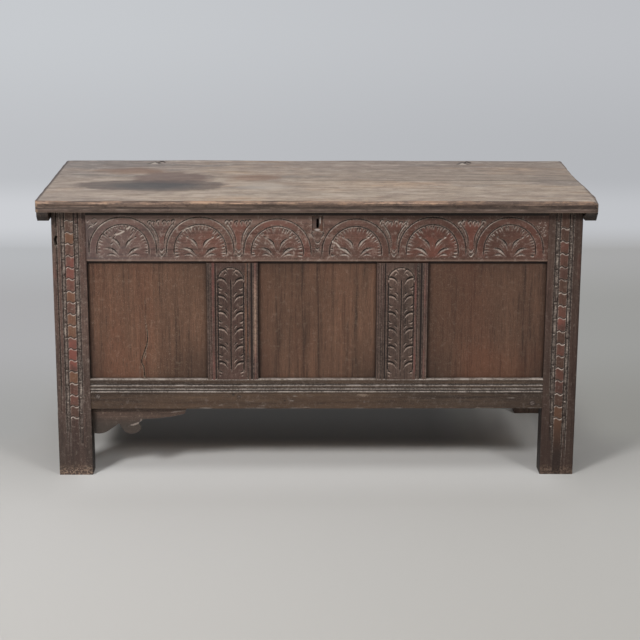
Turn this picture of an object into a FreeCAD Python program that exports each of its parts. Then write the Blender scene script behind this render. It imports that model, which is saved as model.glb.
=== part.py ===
import FreeCAD, Part
import math
import os

# A joined oak coffer: four posts, framed and panelled walls, a floor of loose boards,
# a two-board lid on snipe-bill hinges and an iron chest lock. Millimetres, +Z up.
# The origin is on the floor under the middle of the lid; the front looks along -Y.

V = FreeCAD.Vector

# ---------------------------------------------------------------- driving dimensions
# Carcase
CARCASE_LENGTH = 1180.0
CARCASE_DEPTH = 518.0
CARCASE_HEIGHT = 618.0
POST_WIDTH = 76.0             # along the length of the chest
POST_DEPTH = 52.0             # front to back
RAIL_THICK = 28.0             # rails and muntins
FACE_SETBACK = 1.5            # faces of the rails behind the faces of the posts
FOOT_HEIGHT = 158.0           # floor to the lower edge of the bottom rails
BOTTOM_RAIL = 71.0
FRONT_TOP_RAIL = 120.0
BACK_TOP_RAIL = 110.0
END_TOP_RAIL = 100.0
LONG_MUNTIN_WIDTH = 115.0     # in the front and the back
END_MUNTIN_WIDTH = 90.0

# Joints of the frames
TENON_THICK = 9.0
TENON_INSET = 8.0             # behind the face of the rail
TENON_LENGTH = 38.0           # rails into posts
MUNTIN_TENON = 48.0           # muntins into rails
TENON_HAUNCH = 16.0           # cut away at the outer edge of a rail
TENON_PLAY = 0.1              # between a cheek and its mortise
TENON_END_GAP = 2.0           # at the bottom of a mortise
PEG_DIAMETER = 7.0
PEG_LENGTH = 40.0
PEG_PLAY = 0.1
PEG_INSET = 11.0              # from the shoulder of a rail
PEG_FROM_END = 17.0           # from the edge of the tenon
MUNTIN_PEG = 38.0             # from the shoulder of a muntin

# Panels
PANEL_RECESS = 9.0            # face of a panel behind the face of the rails
PANEL_THICK = 11.0
TONGUE_THICK = 6.0
PANEL_BEVEL = 26.0            # width of the feathering on the back of a panel
GROOVE_DEPTH = 9.0
PANEL_SHRINK_GAP = 1.0        # tongue short of the bottom of its groove
GROOVE_PLAY = 0.2
CUTBACK_PAST_GROOVE = 3.0     # tenons start this far beyond the panel grooves
BEVEL_LEDGE = 1.0             # shoulder round the feathered back of a panel

# Run mouldings, as V cuts
SCRATCH_WIDTH = 2.6
SCRATCH_DEPTH = 1.6
POST_SCRATCHES = (11.0, 28.0, 49.0, 59.0)        # from the outer edge of a front post
POST_SCRATCH_FOOT = 134.0                        # they stop this high above the floor
MUNTIN_SCRATCHES = (5.0, 12.0, 20.0)             # from each edge of a front muntin
BOTTOM_RAIL_SCRATCHES = (6.0, 12.0, 19.0, 25.0)  # below the upper edge
FASCIA_STEP = 33.0            # height of the moulded band on the front bottom rail
FASCIA_DEPTH = 1.5            # the plain band lies this far behind it
TOP_RAIL_CHAMFER = 5.0

# Floor
FLOOR_BOARDS = 5
FLOOR_THICK = 14.0
FLOOR_RISE = 41.0             # top of the boards above the lower edge of the bottom rails
FLOOR_TOP = FOOT_HEIGHT + FLOOR_RISE
FLOOR_WEB = 3.0               # wood left between the floor groove and the mortises
FLOOR_BOARD_GAP = 0.5
FLOOR_END_PLAY = 0.8

# Lid
LID_THICK = 26.0
LID_FRONT_BOARD = 273.0       # front to back
LID_FRONT_OVERHANG = 30.0
LID_REAR_OVERHANG = 18.0
LID_END_OVERHANG = 30.0
LID_NOSE_RADIUS = 7.0
LID_NOSE_HEIGHT = 10.0
LID_HOLLOW_DEPTH = 4.0
LID_FILLET_HEIGHT = 7.0
LID_FILLET_SETBACK = 1.5
DOWEL_DIAMETER = 10.0
DOWEL_LENGTH = 60.0
DOWEL_COUNT = 4
DOWEL_PLAY = 0.1
DOWEL_FROM_END = 160.0
CLEAT_WIDTH = 25.0
CLEAT_HEIGHT = 21.0
CLEAT_GAP = 2.5               # clear of the ends of the carcase
CLEAT_END_INSET = 3.0
CLEAT_NOSE = 12.0             # chamfer under the front end of a cleat
CLEAT_NAILS = 4
CLEAT_NAIL_FROM_END = 40.0

# Snipe-bill hinges: two linked wire eyes each
HINGE_FROM_END = 209.0        # middle of an eye in from the end of the carcase
HINGE_FROM_MIDDLE = CARCASE_LENGTH / 2 - HINGE_FROM_END
EYE_WIRE = 5.0
RAIL_EYE_PLAY = 2.0           # wire of the lid eye inside the rail eye
LID_EYE_PLAY = 1.5            # wire of the rail eye inside the lid eye
EYE_REST_PLAY = 0.7           # left behind the wire when the lid hangs on it
EYE_BACK_GAP = 1.5            # lid eye clear of the back of the carcase
EYE_LID_GAP = 1.0             # rail eye under the lid
IRON_PLAY = 0.2               # iron in the holes and pockets cut for it
CLENCH_LENGTH = 22.0
CLENCH_WIDTH = 4.0
CLENCH_THICK = 1.6
CLENCH_SPREAD = 22.0          # degrees each side on top of the lid

# Lock
LOCK_WIDTH = 92.0
LOCK_BELOW_KEYHOLE = 33.0     # case below the middle of the keyhole
LOCK_DEPTH = 22.0
LOCK_TOP_GAP = 1.0            # under the lid
LOCK_PLATE = 2.0
LOCK_FLANGE = 12.0
STAPLE_FROM_MIDDLE = 20.0
STAPLE_BAR = 4.0              # thickness along the length of the chest
STAPLE_WIDTH = 12.0
STAPLE_DROP = 22.0
STAPLE_EYE_WIDTH = 7.0
STAPLE_EYE_HEIGHT = 10.0
STAPLE_EYE_FROM_END = 4.0
STAPLE_SLOT_PLAY = 2.0
STAPLE_PLATE_LENGTH = 44.0
STAPLE_PLATE_WIDTH = 24.0
STAPLE_NAIL_INSET = 6.0
BOLT_LENGTH = 48.0
BOLT_SIDE_PLAY = 1.0          # bolt inside the eye of the staple
BOLT_REST_GAP = 2.0           # tip of the drawn bolt short of the staple
BOLT_SLIDE_PLAY = 0.05
BOLT_GUIDE_FROM_TIP = 8.0
BOLT_GUIDE_SPAN = 22.0
BOLT_GUIDE_THICK = 3.0
BOLT_GUIDE_RIM = 3.0
BOLT_NOTCH = 3.0
BOLT_NOTCH_WIDTH = 10.0
KEY_PIN = 3.0
KEYHOLE_DROP = 30.0           # middle of the keyhole below the lid
KEYHOLE_WIDTH = 6.5
KEYHOLE_LENGTH = 22.0
KEYHOLE_PLATE_WIDTH = 22.6
KEYHOLE_PLATE_LENGTH = 34.5
KEYHOLE_PLATE_THICK = 1.5
KEYHOLE_PLATE_SUNK = 1.0
KEY_WAY_PLAY = 1.0

# Nails
NAIL_SHANK = 3.0
NAIL_HEAD = 9.0
NAIL_HEAD_HEIGHT = 2.4
NAIL_LENGTH = 38.0
LOCK_NAIL_LENGTH = 20.0
LOCK_NAIL_FROM_END = 12.0
STAPLE_NAIL_LENGTH = 18.0
PIN_SHANK = 1.4
PIN_LENGTH = 12.0
PIN_INSET = 3.0
NAIL_PLAY = 0.1

# Scroll bracket under the front bottom rail, beside the left post
BRACKET_LENGTH = 218.0
BRACKET_THICK = 12.0
BRACKET_SETBACK = 18.0
BRACKET_BRADS = (61.0, 150.0, 195.0)             # from the post
BRACKET_BRAD_ENTRY = 24.0     # length of a brad in the rail
# Depth of the lower edge below the rail: x from the post, drop
LOBE_1 = ((0.0, 62.0), (18.0, 64.0), (38.0, 56.0))
CUSP = (61.0, 40.0)
LOBE_2 = ((70.0, 55.0), (93.0, 64.5), (112.0, 50.0))
CURL_NOTCH = (105.0, 39.0)
TAPER = ((118.0, 29.0), (164.0, 26.0), (211.0, 17.0))

# ---------------------------------------------------------------- places worked out
LID_LENGTH = CARCASE_LENGTH + 2 * LID_END_OVERHANG
LID_DEPTH = LID_FRONT_OVERHANG + CARCASE_DEPTH + LID_REAR_OVERHANG
LID_FRONT = -LID_DEPTH / 2
FRONT_PLANE = LID_FRONT + LID_FRONT_OVERHANG
BACK_PLANE = FRONT_PLANE + CARCASE_DEPTH
MID_DEPTH = (FRONT_PLANE + BACK_PLANE) / 2
LID_BACK = BACK_PLANE + LID_REAR_OVERHANG
LID_TOP = CARCASE_HEIGHT + LID_THICK
HALF_LENGTH = CARCASE_LENGTH / 2
OPENING_FOOT = FOOT_HEIGHT + BOTTOM_RAIL
RAIL_BACK = FACE_SETBACK + RAIL_THICK
TENON_FRONT = FACE_SETBACK + TENON_INSET
TENON_BACK = TENON_FRONT + TENON_THICK
TENON_CUTBACK = GROOVE_DEPTH + CUTBACK_PAST_GROOVE
PANEL_FACE = FACE_SETBACK + PANEL_RECESS
FLOOR_GROOVE = RAIL_THICK - TENON_INSET - TENON_THICK - FLOOR_WEB

WIRE_RADIUS = EYE_WIRE / 2
RAIL_EYE_RADIUS = EYE_WIRE + RAIL_EYE_PLAY
LID_EYE_RADIUS = EYE_WIRE + LID_EYE_PLAY
PIVOT_Y = BACK_PLANE + WIRE_RADIUS + EYE_BACK_GAP
PIVOT_Z = CARCASE_HEIGHT - RAIL_EYE_RADIUS - WIRE_RADIUS - EYE_LID_GAP
RAIL_EYE_Y = PIVOT_Y - RAIL_EYE_PLAY + EYE_REST_PLAY

INNER_FRONT = FRONT_PLANE + RAIL_BACK
LOCK_MIDDLE_Y = INNER_FRONT + LOCK_DEPTH / 2
LOCK_TOP = CARCASE_HEIGHT - LOCK_TOP_GAP
KEYHOLE_LEVEL = CARCASE_HEIGHT - KEYHOLE_DROP
LOCK_FOOT = KEYHOLE_LEVEL - LOCK_BELOW_KEYHOLE
BOLT_MIDDLE_Z = CARCASE_HEIGHT - STAPLE_DROP + STAPLE_EYE_FROM_END + STAPLE_EYE_HEIGHT / 2
BOLT_WIDTH = STAPLE_EYE_WIDTH - 2 * BOLT_SIDE_PLAY
BOLT_HEIGHT = STAPLE_EYE_HEIGHT - 2 * BOLT_SIDE_PLAY
BOLT_TIP = STAPLE_FROM_MIDDLE - STAPLE_BAR / 2 - BOLT_REST_GAP


class Wall:
    """A framed wall in its own axes: x along it, y inwards from its outer plane, z up."""

    def __init__(self, name, turn, place, clear, top_rail, muntin, bay_names):
        self.name = name
        self.turn = turn
        self.place = place
        self.clear = clear
        self.muntin = muntin
        self.bay_names = bay_names
        self.top_rail = (CARCASE_HEIGHT - top_rail, CARCASE_HEIGHT)
        self.bottom_rail = (FOOT_HEIGHT, OPENING_FOOT)
        self.bays = len(bay_names)
        self.bay = (clear - (self.bays - 1) * muntin) / self.bays

    def muntin_middles(self):
        """Middles of the muntins along the wall."""
        pitch = self.bay + self.muntin
        return [-self.clear / 2 + self.bay + self.muntin / 2 + i * pitch for i in range(self.bays - 1)]

    def bay_ends(self):
        """Both edges of each opening along the wall."""
        pitch = self.bay + self.muntin
        starts = [-self.clear / 2 + i * pitch for i in range(self.bays)]
        return [(start, start + self.bay) for start in starts]

    def set_in_place(self, shape):
        """Turn a piece made in the wall's axes to its place in the chest."""
        moved = shape.copy()
        moved.rotate(V(0, 0, 0), V(0, 0, 1), self.turn)
        moved.translate(self.place)
        return moved


LONG_CLEAR = CARCASE_LENGTH - 2 * POST_WIDTH
END_CLEAR = CARCASE_DEPTH - 2 * POST_DEPTH
FRONT = Wall("front", 0, V(0, FRONT_PLANE, 0), LONG_CLEAR, FRONT_TOP_RAIL, LONG_MUNTIN_WIDTH,
             ("left", "middle", "right"))
BACK = Wall("back", 180, V(0, BACK_PLANE, 0), LONG_CLEAR, BACK_TOP_RAIL, LONG_MUNTIN_WIDTH,
            ("right", "middle", "left"))
LEFT_END = Wall("left_end", -90, V(-HALF_LENGTH, MID_DEPTH, 0), END_CLEAR, END_TOP_RAIL, END_MUNTIN_WIDTH,
                ("back", "front"))
RIGHT_END = Wall("right_end", 90, V(HALF_LENGTH, MID_DEPTH, 0), END_CLEAR, END_TOP_RAIL, END_MUNTIN_WIDTH,
                 ("front", "back"))
WALLS = (FRONT, BACK, LEFT_END, RIGHT_END)


# ---------------------------------------------------------------- small tools
def box(x0, x1, y0, y1, z0, z1):
    """A block between two corners."""
    return Part.makeBox(x1 - x0, y1 - y0, z1 - z0, V(x0, y0, z0))


def prism(points, along):
    """A straight solid on a closed outline."""
    return Part.Face(Part.makePolygon(points + [points[0]])).extrude(along)


def cut(shape, tools):
    """Take several cuts out of one piece and merge its split faces."""
    return shape.cut(Part.makeCompound(tools)).removeSplitter()


def join(shapes):
    """Weld forged or worked pieces into one solid."""
    return shapes[0].fuse(shapes[1:]).removeSplitter()


def scratch_up(x, face, z0, z1):
    """A V cut run up a face that looks along -y."""
    half = SCRATCH_WIDTH / 2
    outline = [V(x - half, face, z0), V(x + half, face, z0), V(x, face + SCRATCH_DEPTH, z0)]
    return prism(outline, V(0, 0, z1 - z0))


def scratch_along(x0, x1, face, z):
    """A V cut run along a face that looks along -y."""
    half = SCRATCH_WIDTH / 2
    outline = [V(x0, face, z - half), V(x0, face + SCRATCH_DEPTH, z), V(x0, face, z + half)]
    return prism(outline, V(x1 - x0, 0, 0))


def brad(head, into, shank, length, play=0.0):
    """A headless square nail, or with play the hole for it."""
    half = shank / 2 + play
    body = box(-half, half, -half, half, 0, length + play)
    body.Placement = FreeCAD.Placement(head, FreeCAD.Rotation(V(0, 0, 1), into))
    return body


def nail(head, into, length):
    """A square hand-made nail with a four-sided head that stands proud of the wood."""
    wide = NAIL_HEAD / 2
    half = NAIL_SHANK / 2
    rims = [square(wide, 0), square(half, -NAIL_HEAD_HEIGHT)]
    body = join([box(-half, half, -half, half, 0, length), Part.makeLoft(rims, True, True)])
    body.Placement = FreeCAD.Placement(head, FreeCAD.Rotation(V(0, 0, 1), into))
    return body


def square(half, z):
    """A closed level square about the z axis."""
    return Part.makePolygon([V(-half, -half, z), V(half, -half, z), V(half, half, z),
                             V(-half, half, z), V(-half, -half, z)])


def eight_sides(radius):
    """Corners of an eight-sided section about the origin."""
    turns = [math.radians(45 * i + 22.5) for i in range(8)]
    return [V(radius * math.cos(turn), radius * math.sin(turn), 0) for turn in turns]


def bar(start, along, radius):
    """A riven peg, a forged shank or the hole for one: a straight bar with eight flats."""
    body = prism(eight_sides(radius), V(0, 0, along.Length))
    body.Placement = FreeCAD.Placement(start, FreeCAD.Rotation(V(0, 0, 1), along))
    return body


def ring(middle, axis, radius, wire_radius):
    """A forged eye: eight-sided iron bent round in a circle."""
    section = [V(radius + corner.x, 0, corner.y) for corner in eight_sides(wire_radius)]
    eye = Part.Face(Part.makePolygon(section + [section[0]])).revolve(V(0, 0, 0), V(0, 0, 1), 360)
    eye.Placement = FreeCAD.Placement(middle, FreeCAD.Rotation(V(0, 0, 1), axis))
    return eye


# ---------------------------------------------------------------- frames
def rail_levels(wall):
    """Lower and upper edge of each rail, and whether the opening is above it."""
    return ((wall.bottom_rail, True), (wall.top_rail, False))


def tenon_levels(rail, opening_above):
    """Lower and upper edge of the tenon on a rail."""
    if opening_above:
        return rail[0] + TENON_HAUNCH, rail[1] - TENON_CUTBACK
    return rail[0] + TENON_CUTBACK, rail[1] - TENON_HAUNCH


def rail_tenon(wall, rail, opening_above, side, play=0.0):
    """Tenon at one end of a rail, or with play the mortise in the post."""
    low, high = tenon_levels(rail, opening_above)
    reach = TENON_LENGTH + (TENON_END_GAP if play else 0.0)
    shoulder = wall.clear / 2
    x0, x1 = sorted((side * shoulder, side * (shoulder + reach)))
    return box(x0, x1, TENON_FRONT - play, TENON_BACK + play, low - play, high + play)


def muntin_tenon(wall, middle, shoulder, down, play=0.0):
    """Tenon at one end of a muntin, or with play the mortise in the rail."""
    half = wall.muntin / 2 - TENON_CUTBACK + play
    reach = MUNTIN_TENON + (TENON_END_GAP if play else 0.0)
    z0, z1 = sorted((shoulder, shoulder - reach if down else shoulder + reach))
    return box(middle - half, middle + half, TENON_FRONT - play, TENON_BACK + play, z0, z1)


def peg_places(wall):
    """Each peg of a wall: x and z, then the depths of its outer and inner ends."""
    places = []
    for rail, opening_above in rail_levels(wall):
        low, high = tenon_levels(rail, opening_above)
        levels = [low + PEG_FROM_END] if opening_above else [low + PEG_FROM_END, high - PEG_FROM_END]
        for level in levels:
            for side in (-1, 1):
                places.append((side * (wall.clear / 2 + PEG_INSET), level, 0.0, PEG_LENGTH))
    face = FACE_SETBACK + FASCIA_DEPTH if wall.name == "front" else FACE_SETBACK
    for middle in wall.muntin_middles():
        places.append((middle, wall.bottom_rail[1] - MUNTIN_PEG, face, RAIL_BACK - FLOOR_GROOVE))
    return places


def pegs(wall, play=0.0):
    """The riven pegs of a wall, or with play their holes, which run in from the outer plane."""
    radius = PEG_DIAMETER / 2 + play
    return [bar(V(x, 0 if play else outer, z), V(0, inner if play else inner - outer, 0), radius)
            for x, z, outer, inner in peg_places(wall)]


def panel_groove(x0, x1, z0, z1):
    """The groove that takes the edge of a panel."""
    return box(x0, x1, PANEL_FACE - GROOVE_PLAY, PANEL_FACE + TONGUE_THICK + GROOVE_PLAY, z0, z1)


def rail(wall, levels, opening_above):
    """A rail with its tenons, panel groove, mortises and peg holes, in the wall's axes."""
    z0, z1 = levels
    half = wall.clear / 2
    piece = join([box(-half, half, FACE_SETBACK, RAIL_BACK, z0, z1)]
                 + [rail_tenon(wall, levels, opening_above, side) for side in (-1, 1)])
    if opening_above:
        cuts = [panel_groove(-half, half, z1 - GROOVE_DEPTH, z1)]
        shoulder = z1
    else:
        cuts = [panel_groove(-half, half, z0, z0 + GROOVE_DEPTH)]
        shoulder = z0
    cuts += [muntin_tenon(wall, m, shoulder, opening_above, TENON_PLAY) for m in wall.muntin_middles()]
    cuts += pegs(wall, PEG_PLAY)
    return cut(piece, cuts)


def floor_groove():
    """The groove for the ends of the floor boards, in the axes of a long wall."""
    half = LONG_CLEAR / 2
    return box(-half, half, RAIL_BACK - FLOOR_GROOVE, RAIL_BACK,
               FLOOR_TOP - FLOOR_THICK - GROOVE_PLAY, FLOOR_TOP + GROOVE_PLAY)


def muntin(wall, middle):
    """A muntin with a tenon at each end and a panel groove in each edge."""
    z0 = wall.bottom_rail[1]
    z1 = wall.top_rail[0]
    half = wall.muntin / 2
    piece = join([box(middle - half, middle + half, FACE_SETBACK, RAIL_BACK, z0, z1),
                  muntin_tenon(wall, middle, z0, True), muntin_tenon(wall, middle, z1, False)])
    cuts = [panel_groove(middle - half, middle - half + GROOVE_DEPTH, z0, z1),
            panel_groove(middle + half - GROOVE_DEPTH, middle + half, z0, z1)]
    return cut(piece, cuts + pegs(wall, PEG_PLAY))


def panel(wall, x0, x1):
    """A flat-faced panel, feathered on its back to enter the grooves."""
    entry = GROOVE_DEPTH - PANEL_SHRINK_GAP
    low = wall.bottom_rail[1] - entry
    high = wall.top_rail[0] + entry
    back = PANEL_FACE + PANEL_THICK
    tongue = box(x0 - entry, x1 + entry, PANEL_FACE, PANEL_FACE + TONGUE_THICK, low, high)
    foot = rectangle(x0 + BEVEL_LEDGE, x1 - BEVEL_LEDGE, PANEL_FACE + TONGUE_THICK,
                     low + entry + BEVEL_LEDGE, high - entry - BEVEL_LEDGE)
    crown = rectangle(x0 + PANEL_BEVEL, x1 - PANEL_BEVEL, back,
                      low + entry + PANEL_BEVEL, high - entry - PANEL_BEVEL)
    return join([tongue, Part.makeLoft([foot, crown], True, True)])


def rectangle(x0, x1, y, z0, z1):
    """A closed upright rectangle."""
    return Part.makePolygon([V(x0, y, z0), V(x1, y, z0), V(x1, y, z1), V(x0, y, z1), V(x0, y, z0)])


def wall_pieces(wall):
    """Every wooden piece of one wall but the posts, by name."""
    pieces = {
        wall.name + "_bottom_rail": rail(wall, wall.bottom_rail, True),
        wall.name + "_top_rail": rail(wall, wall.top_rail, False),
    }
    sides = ("left", "right") if wall.bays == 3 else ("",)
    if wall is BACK:
        sides = sides[::-1]
    for side, middle in zip(sides, wall.muntin_middles()):
        pieces["_".join(filter(None, (wall.name, "muntin", side)))] = muntin(wall, middle)
    for bay, (x0, x1) in zip(wall.bay_names, wall.bay_ends()):
        pieces[wall.name + "_panel_" + bay] = panel(wall, x0, x1)
    pieces[wall.name + "_pegs"] = Part.makeCompound(pegs(wall))
    return pieces


def dress_front(pieces):
    """Run mouldings, key way and nail holes of the front."""
    half = LONG_CLEAR / 2
    face = FRONT_PLANE + FACE_SETBACK
    cuts = [scratch_along(-half, half, face, OPENING_FOOT - drop) for drop in BOTTOM_RAIL_SCRATCHES]
    cuts.append(box(-half, half, face, face + FASCIA_DEPTH, FOOT_HEIGHT, OPENING_FOOT - FASCIA_STEP))
    cuts.append(FRONT.set_in_place(floor_groove()))
    pieces["front_bottom_rail"] = cut(pieces["front_bottom_rail"], cuts + bracket_brads(NAIL_PLAY))

    foot = FRONT.top_rail[0]
    chamfer = prism([V(-half, face, foot), V(-half, face, foot + TOP_RAIL_CHAMFER),
                     V(-half, face + TOP_RAIL_CHAMFER, foot)], V(2 * half, 0, 0))
    cuts = [chamfer] + key_way() + plate_pins(NAIL_PLAY) + lock_nail_holes()
    pieces["front_top_rail"] = cut(pieces["front_top_rail"], cuts)

    for side, middle in zip(("left", "right"), FRONT.muntin_middles()):
        edges = [middle + sign * (LONG_MUNTIN_WIDTH / 2 - inset)
                 for sign in (-1, 1) for inset in MUNTIN_SCRATCHES]
        name = "front_muntin_" + side
        pieces[name] = cut(pieces[name], [scratch_up(x, face, OPENING_FOOT, foot) for x in edges])


def post(side, end):
    """A corner post that runs down as a foot; side is -1 left or 1 right, end -1 front or 1 back."""
    x0, x1 = sorted((side * HALF_LENGTH, side * (HALF_LENGTH - POST_WIDTH)))
    plane = FRONT_PLANE if end < 0 else BACK_PLANE
    y0, y1 = sorted((plane, plane - end * POST_DEPTH))
    cuts = []
    for wall in WALLS:
        for wall_side in (-1, 1):
            reach = wall_side * wall.clear / 2
            x_groove = sorted((reach, reach + wall_side * GROOVE_DEPTH))
            tools = [rail_tenon(wall, levels, above, wall_side, TENON_PLAY)
                     for levels, above in rail_levels(wall)]
            tools.append(panel_groove(x_groove[0], x_groove[1], OPENING_FOOT - GROOVE_DEPTH,
                                      wall.top_rail[0] + GROOVE_DEPTH))
            cuts += [wall.set_in_place(tool) for tool in tools]
        cuts += [wall.set_in_place(tool) for tool in pegs(wall, PEG_PLAY)]
    if end < 0:
        for inset in POST_SCRATCHES:
            x = side * (HALF_LENGTH - inset)
            cuts.append(scratch_up(x, FRONT_PLANE, POST_SCRATCH_FOOT, CARCASE_HEIGHT))
    blank = box(x0, x1, y0, y1, 0, CARCASE_HEIGHT)
    near = [tool for tool in cuts if blank.BoundBox.intersect(tool.BoundBox)]
    return cut(blank, near)


# ---------------------------------------------------------------- floor and bracket
def floor_board(index):
    """A loose floor board laid front to back, notched round the posts at the two ends."""
    inner = HALF_LENGTH - RAIL_BACK - FLOOR_END_PLAY
    pitch = 2 * inner / FLOOR_BOARDS
    x0 = -inner + index * pitch + FLOOR_BOARD_GAP / 2
    x1 = x0 + pitch - FLOOR_BOARD_GAP
    entry = FLOOR_GROOVE - FLOOR_END_PLAY
    y0 = INNER_FRONT - entry
    y1 = BACK_PLANE - RAIL_BACK + entry
    board = box(x0, x1, y0, y1, FLOOR_TOP - FLOOR_THICK, FLOOR_TOP)
    notches = []
    for side in (-1, 1):
        edge = sorted((side * (LONG_CLEAR / 2 - FLOOR_END_PLAY), side * HALF_LENGTH))
        for low, high in ((FRONT_PLANE, FRONT_PLANE + POST_DEPTH + FLOOR_END_PLAY),
                          (BACK_PLANE - POST_DEPTH - FLOOR_END_PLAY, BACK_PLANE)):
            notches.append(box(edge[0], edge[1], low, high, 0, CARCASE_HEIGHT))
    return cut(board, notches)


def bracket_outline():
    """Edge of the scroll bracket: two lobes, a curled notch and a long taper."""
    def at(point):
        """A point given from the post and down from the rail."""
        return V(-LONG_CLEAR / 2 + point[0], 0, FOOT_HEIGHT - point[1])

    top_left = at((0.0, 0.0))
    top_right = at((BRACKET_LENGTH, 0.0))
    edges = [
        Part.LineSegment(top_left, at(LOBE_1[0])).toShape(),
        Part.Arc(at(LOBE_1[0]), at(LOBE_1[1]), at(LOBE_1[2])).toShape(),
        Part.LineSegment(at(LOBE_1[2]), at(CUSP)).toShape(),
        Part.LineSegment(at(CUSP), at(LOBE_2[0])).toShape(),
        Part.Arc(at(LOBE_2[0]), at(LOBE_2[1]), at(LOBE_2[2])).toShape(),
        Part.LineSegment(at(LOBE_2[2]), at(CURL_NOTCH)).toShape(),
        Part.LineSegment(at(CURL_NOTCH), at(TAPER[0])).toShape(),
        Part.Arc(at(TAPER[0]), at(TAPER[1]), at(TAPER[2])).toShape(),
        Part.LineSegment(at(TAPER[2]), top_right).toShape(),
        Part.LineSegment(top_right, top_left).toShape(),
    ]
    return Part.Wire(edges)


def bracket_brads(play=0.0):
    """Brads punched up through the bracket into the rail, or with play their holes."""
    y = FRONT_PLANE + BRACKET_SETBACK + BRACKET_THICK / 2
    below = LOBE_2[1][1] if play else NAIL_LENGTH - BRACKET_BRAD_ENTRY
    return [brad(V(x - LONG_CLEAR / 2, y, FOOT_HEIGHT - below), V(0, 0, 1),
                 NAIL_SHANK, below + BRACKET_BRAD_ENTRY, play) for x in BRACKET_BRADS]


def scroll_bracket():
    """The sawn apron bracket that survives at the left."""
    blank = Part.Face(bracket_outline()).extrude(V(0, BRACKET_THICK, 0))
    blank.translate(V(0, FRONT_PLANE + BRACKET_SETBACK, 0))
    return cut(blank, bracket_brads(NAIL_PLAY))


# ---------------------------------------------------------------- hinges
def rail_eye(x):
    """Eye in the back top rail: a ring, a shank through the rail and two legs clenched inside."""
    inside = BACK_PLANE - RAIL_BACK
    start = RAIL_EYE_Y - RAIL_EYE_RADIUS
    legs = box(x - CLENCH_LENGTH, x + CLENCH_LENGTH, inside - CLENCH_THICK, inside,
               PIVOT_Z - CLENCH_WIDTH / 2, PIVOT_Z + CLENCH_WIDTH / 2)
    shank = bar(V(x, start, PIVOT_Z), V(0, inside - CLENCH_THICK - start, 0), WIRE_RADIUS)
    return join([ring(V(x, RAIL_EYE_Y, PIVOT_Z), V(1, 0, 0), RAIL_EYE_RADIUS, WIRE_RADIUS), shank, legs])


def rail_eye_room(x):
    """Notch and hole for a rail eye."""
    half = WIRE_RADIUS + IRON_PLAY
    reach = RAIL_EYE_RADIUS + half
    notch = box(x - half, x + half, RAIL_EYE_Y - reach, BACK_PLANE, PIVOT_Z - reach, CARCASE_HEIGHT)
    return [notch, bar(V(x, BACK_PLANE, PIVOT_Z), V(0, -RAIL_BACK, 0), half)]


def clench_leg(x, angle, play=0.0):
    """One leg of a lid eye, hammered down into the top of the lid."""
    half = CLENCH_WIDTH / 2 + play
    leg = box(-half, half, -CLENCH_LENGTH - play, 0, LID_TOP - CLENCH_THICK - play, LID_TOP)
    leg.rotate(V(0, 0, 0), V(0, 0, 1), angle)
    leg.translate(V(x, PIVOT_Y, 0))
    return leg


def lid_eye(x):
    """Eye in the lid: a ring round the rail eye, a shank through the lid and two clenched legs."""
    middle = V(x, PIVOT_Y, PIVOT_Z + LID_EYE_RADIUS)
    foot = middle.z + LID_EYE_RADIUS
    shank = bar(V(x, PIVOT_Y, foot), V(0, 0, LID_TOP - foot), WIRE_RADIUS)
    legs = [clench_leg(x, angle) for angle in (-CLENCH_SPREAD, CLENCH_SPREAD)]
    return join([ring(middle, V(0, 1, 0), LID_EYE_RADIUS, WIRE_RADIUS), shank] + legs)


def lid_eye_room(x):
    """Pocket, hole and grooves for a lid eye."""
    half = WIRE_RADIUS + IRON_PLAY
    reach = LID_EYE_RADIUS + half
    pocket = box(x - reach, x + reach, PIVOT_Y - half, PIVOT_Y + half,
                 CARCASE_HEIGHT, PIVOT_Z + LID_EYE_RADIUS + reach)
    hole = bar(V(x, PIVOT_Y, CARCASE_HEIGHT), V(0, 0, LID_THICK), half)
    return [pocket, hole] + [clench_leg(x, angle, IRON_PLAY) for angle in (-CLENCH_SPREAD, CLENCH_SPREAD)]


# ---------------------------------------------------------------- lock
def slot(width, length, y0, y1, middle):
    """An upright round-ended slot through a face."""
    radius = width / 2
    straight = length / 2 - radius
    ends = [Part.makeCylinder(radius, y1 - y0, V(0, y0, middle + z), V(0, 1, 0))
            for z in (-straight, straight)]
    return join([box(-radius, radius, y0, y1, middle - straight, middle + straight)] + ends)


def plate_pins(play=0.0):
    """Pins at the corners of the keyhole plate, or with play their holes."""
    x = KEYHOLE_PLATE_WIDTH / 2 - PIN_INSET
    z = KEYHOLE_PLATE_LENGTH / 2 - PIN_INSET
    y = FRONT_PLANE + FACE_SETBACK + KEYHOLE_PLATE_SUNK
    return [brad(V(sx * x, y, KEYHOLE_LEVEL + sz * z), V(0, 1, 0), PIN_SHANK, PIN_LENGTH, play)
            for sx in (-1, 1) for sz in (-1, 1)]


def keyhole_plate():
    """The iron plate let into the front top rail."""
    y0 = FRONT_PLANE + FACE_SETBACK + KEYHOLE_PLATE_SUNK
    y1 = y0 + KEYHOLE_PLATE_THICK
    x = KEYHOLE_PLATE_WIDTH / 2
    z = KEYHOLE_PLATE_LENGTH / 2
    plate = box(-x, x, y0, y1, KEYHOLE_LEVEL - z, KEYHOLE_LEVEL + z)
    return cut(plate, [slot(KEYHOLE_WIDTH, KEYHOLE_LENGTH, y0, y1, KEYHOLE_LEVEL)] + plate_pins(NAIL_PLAY))


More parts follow.
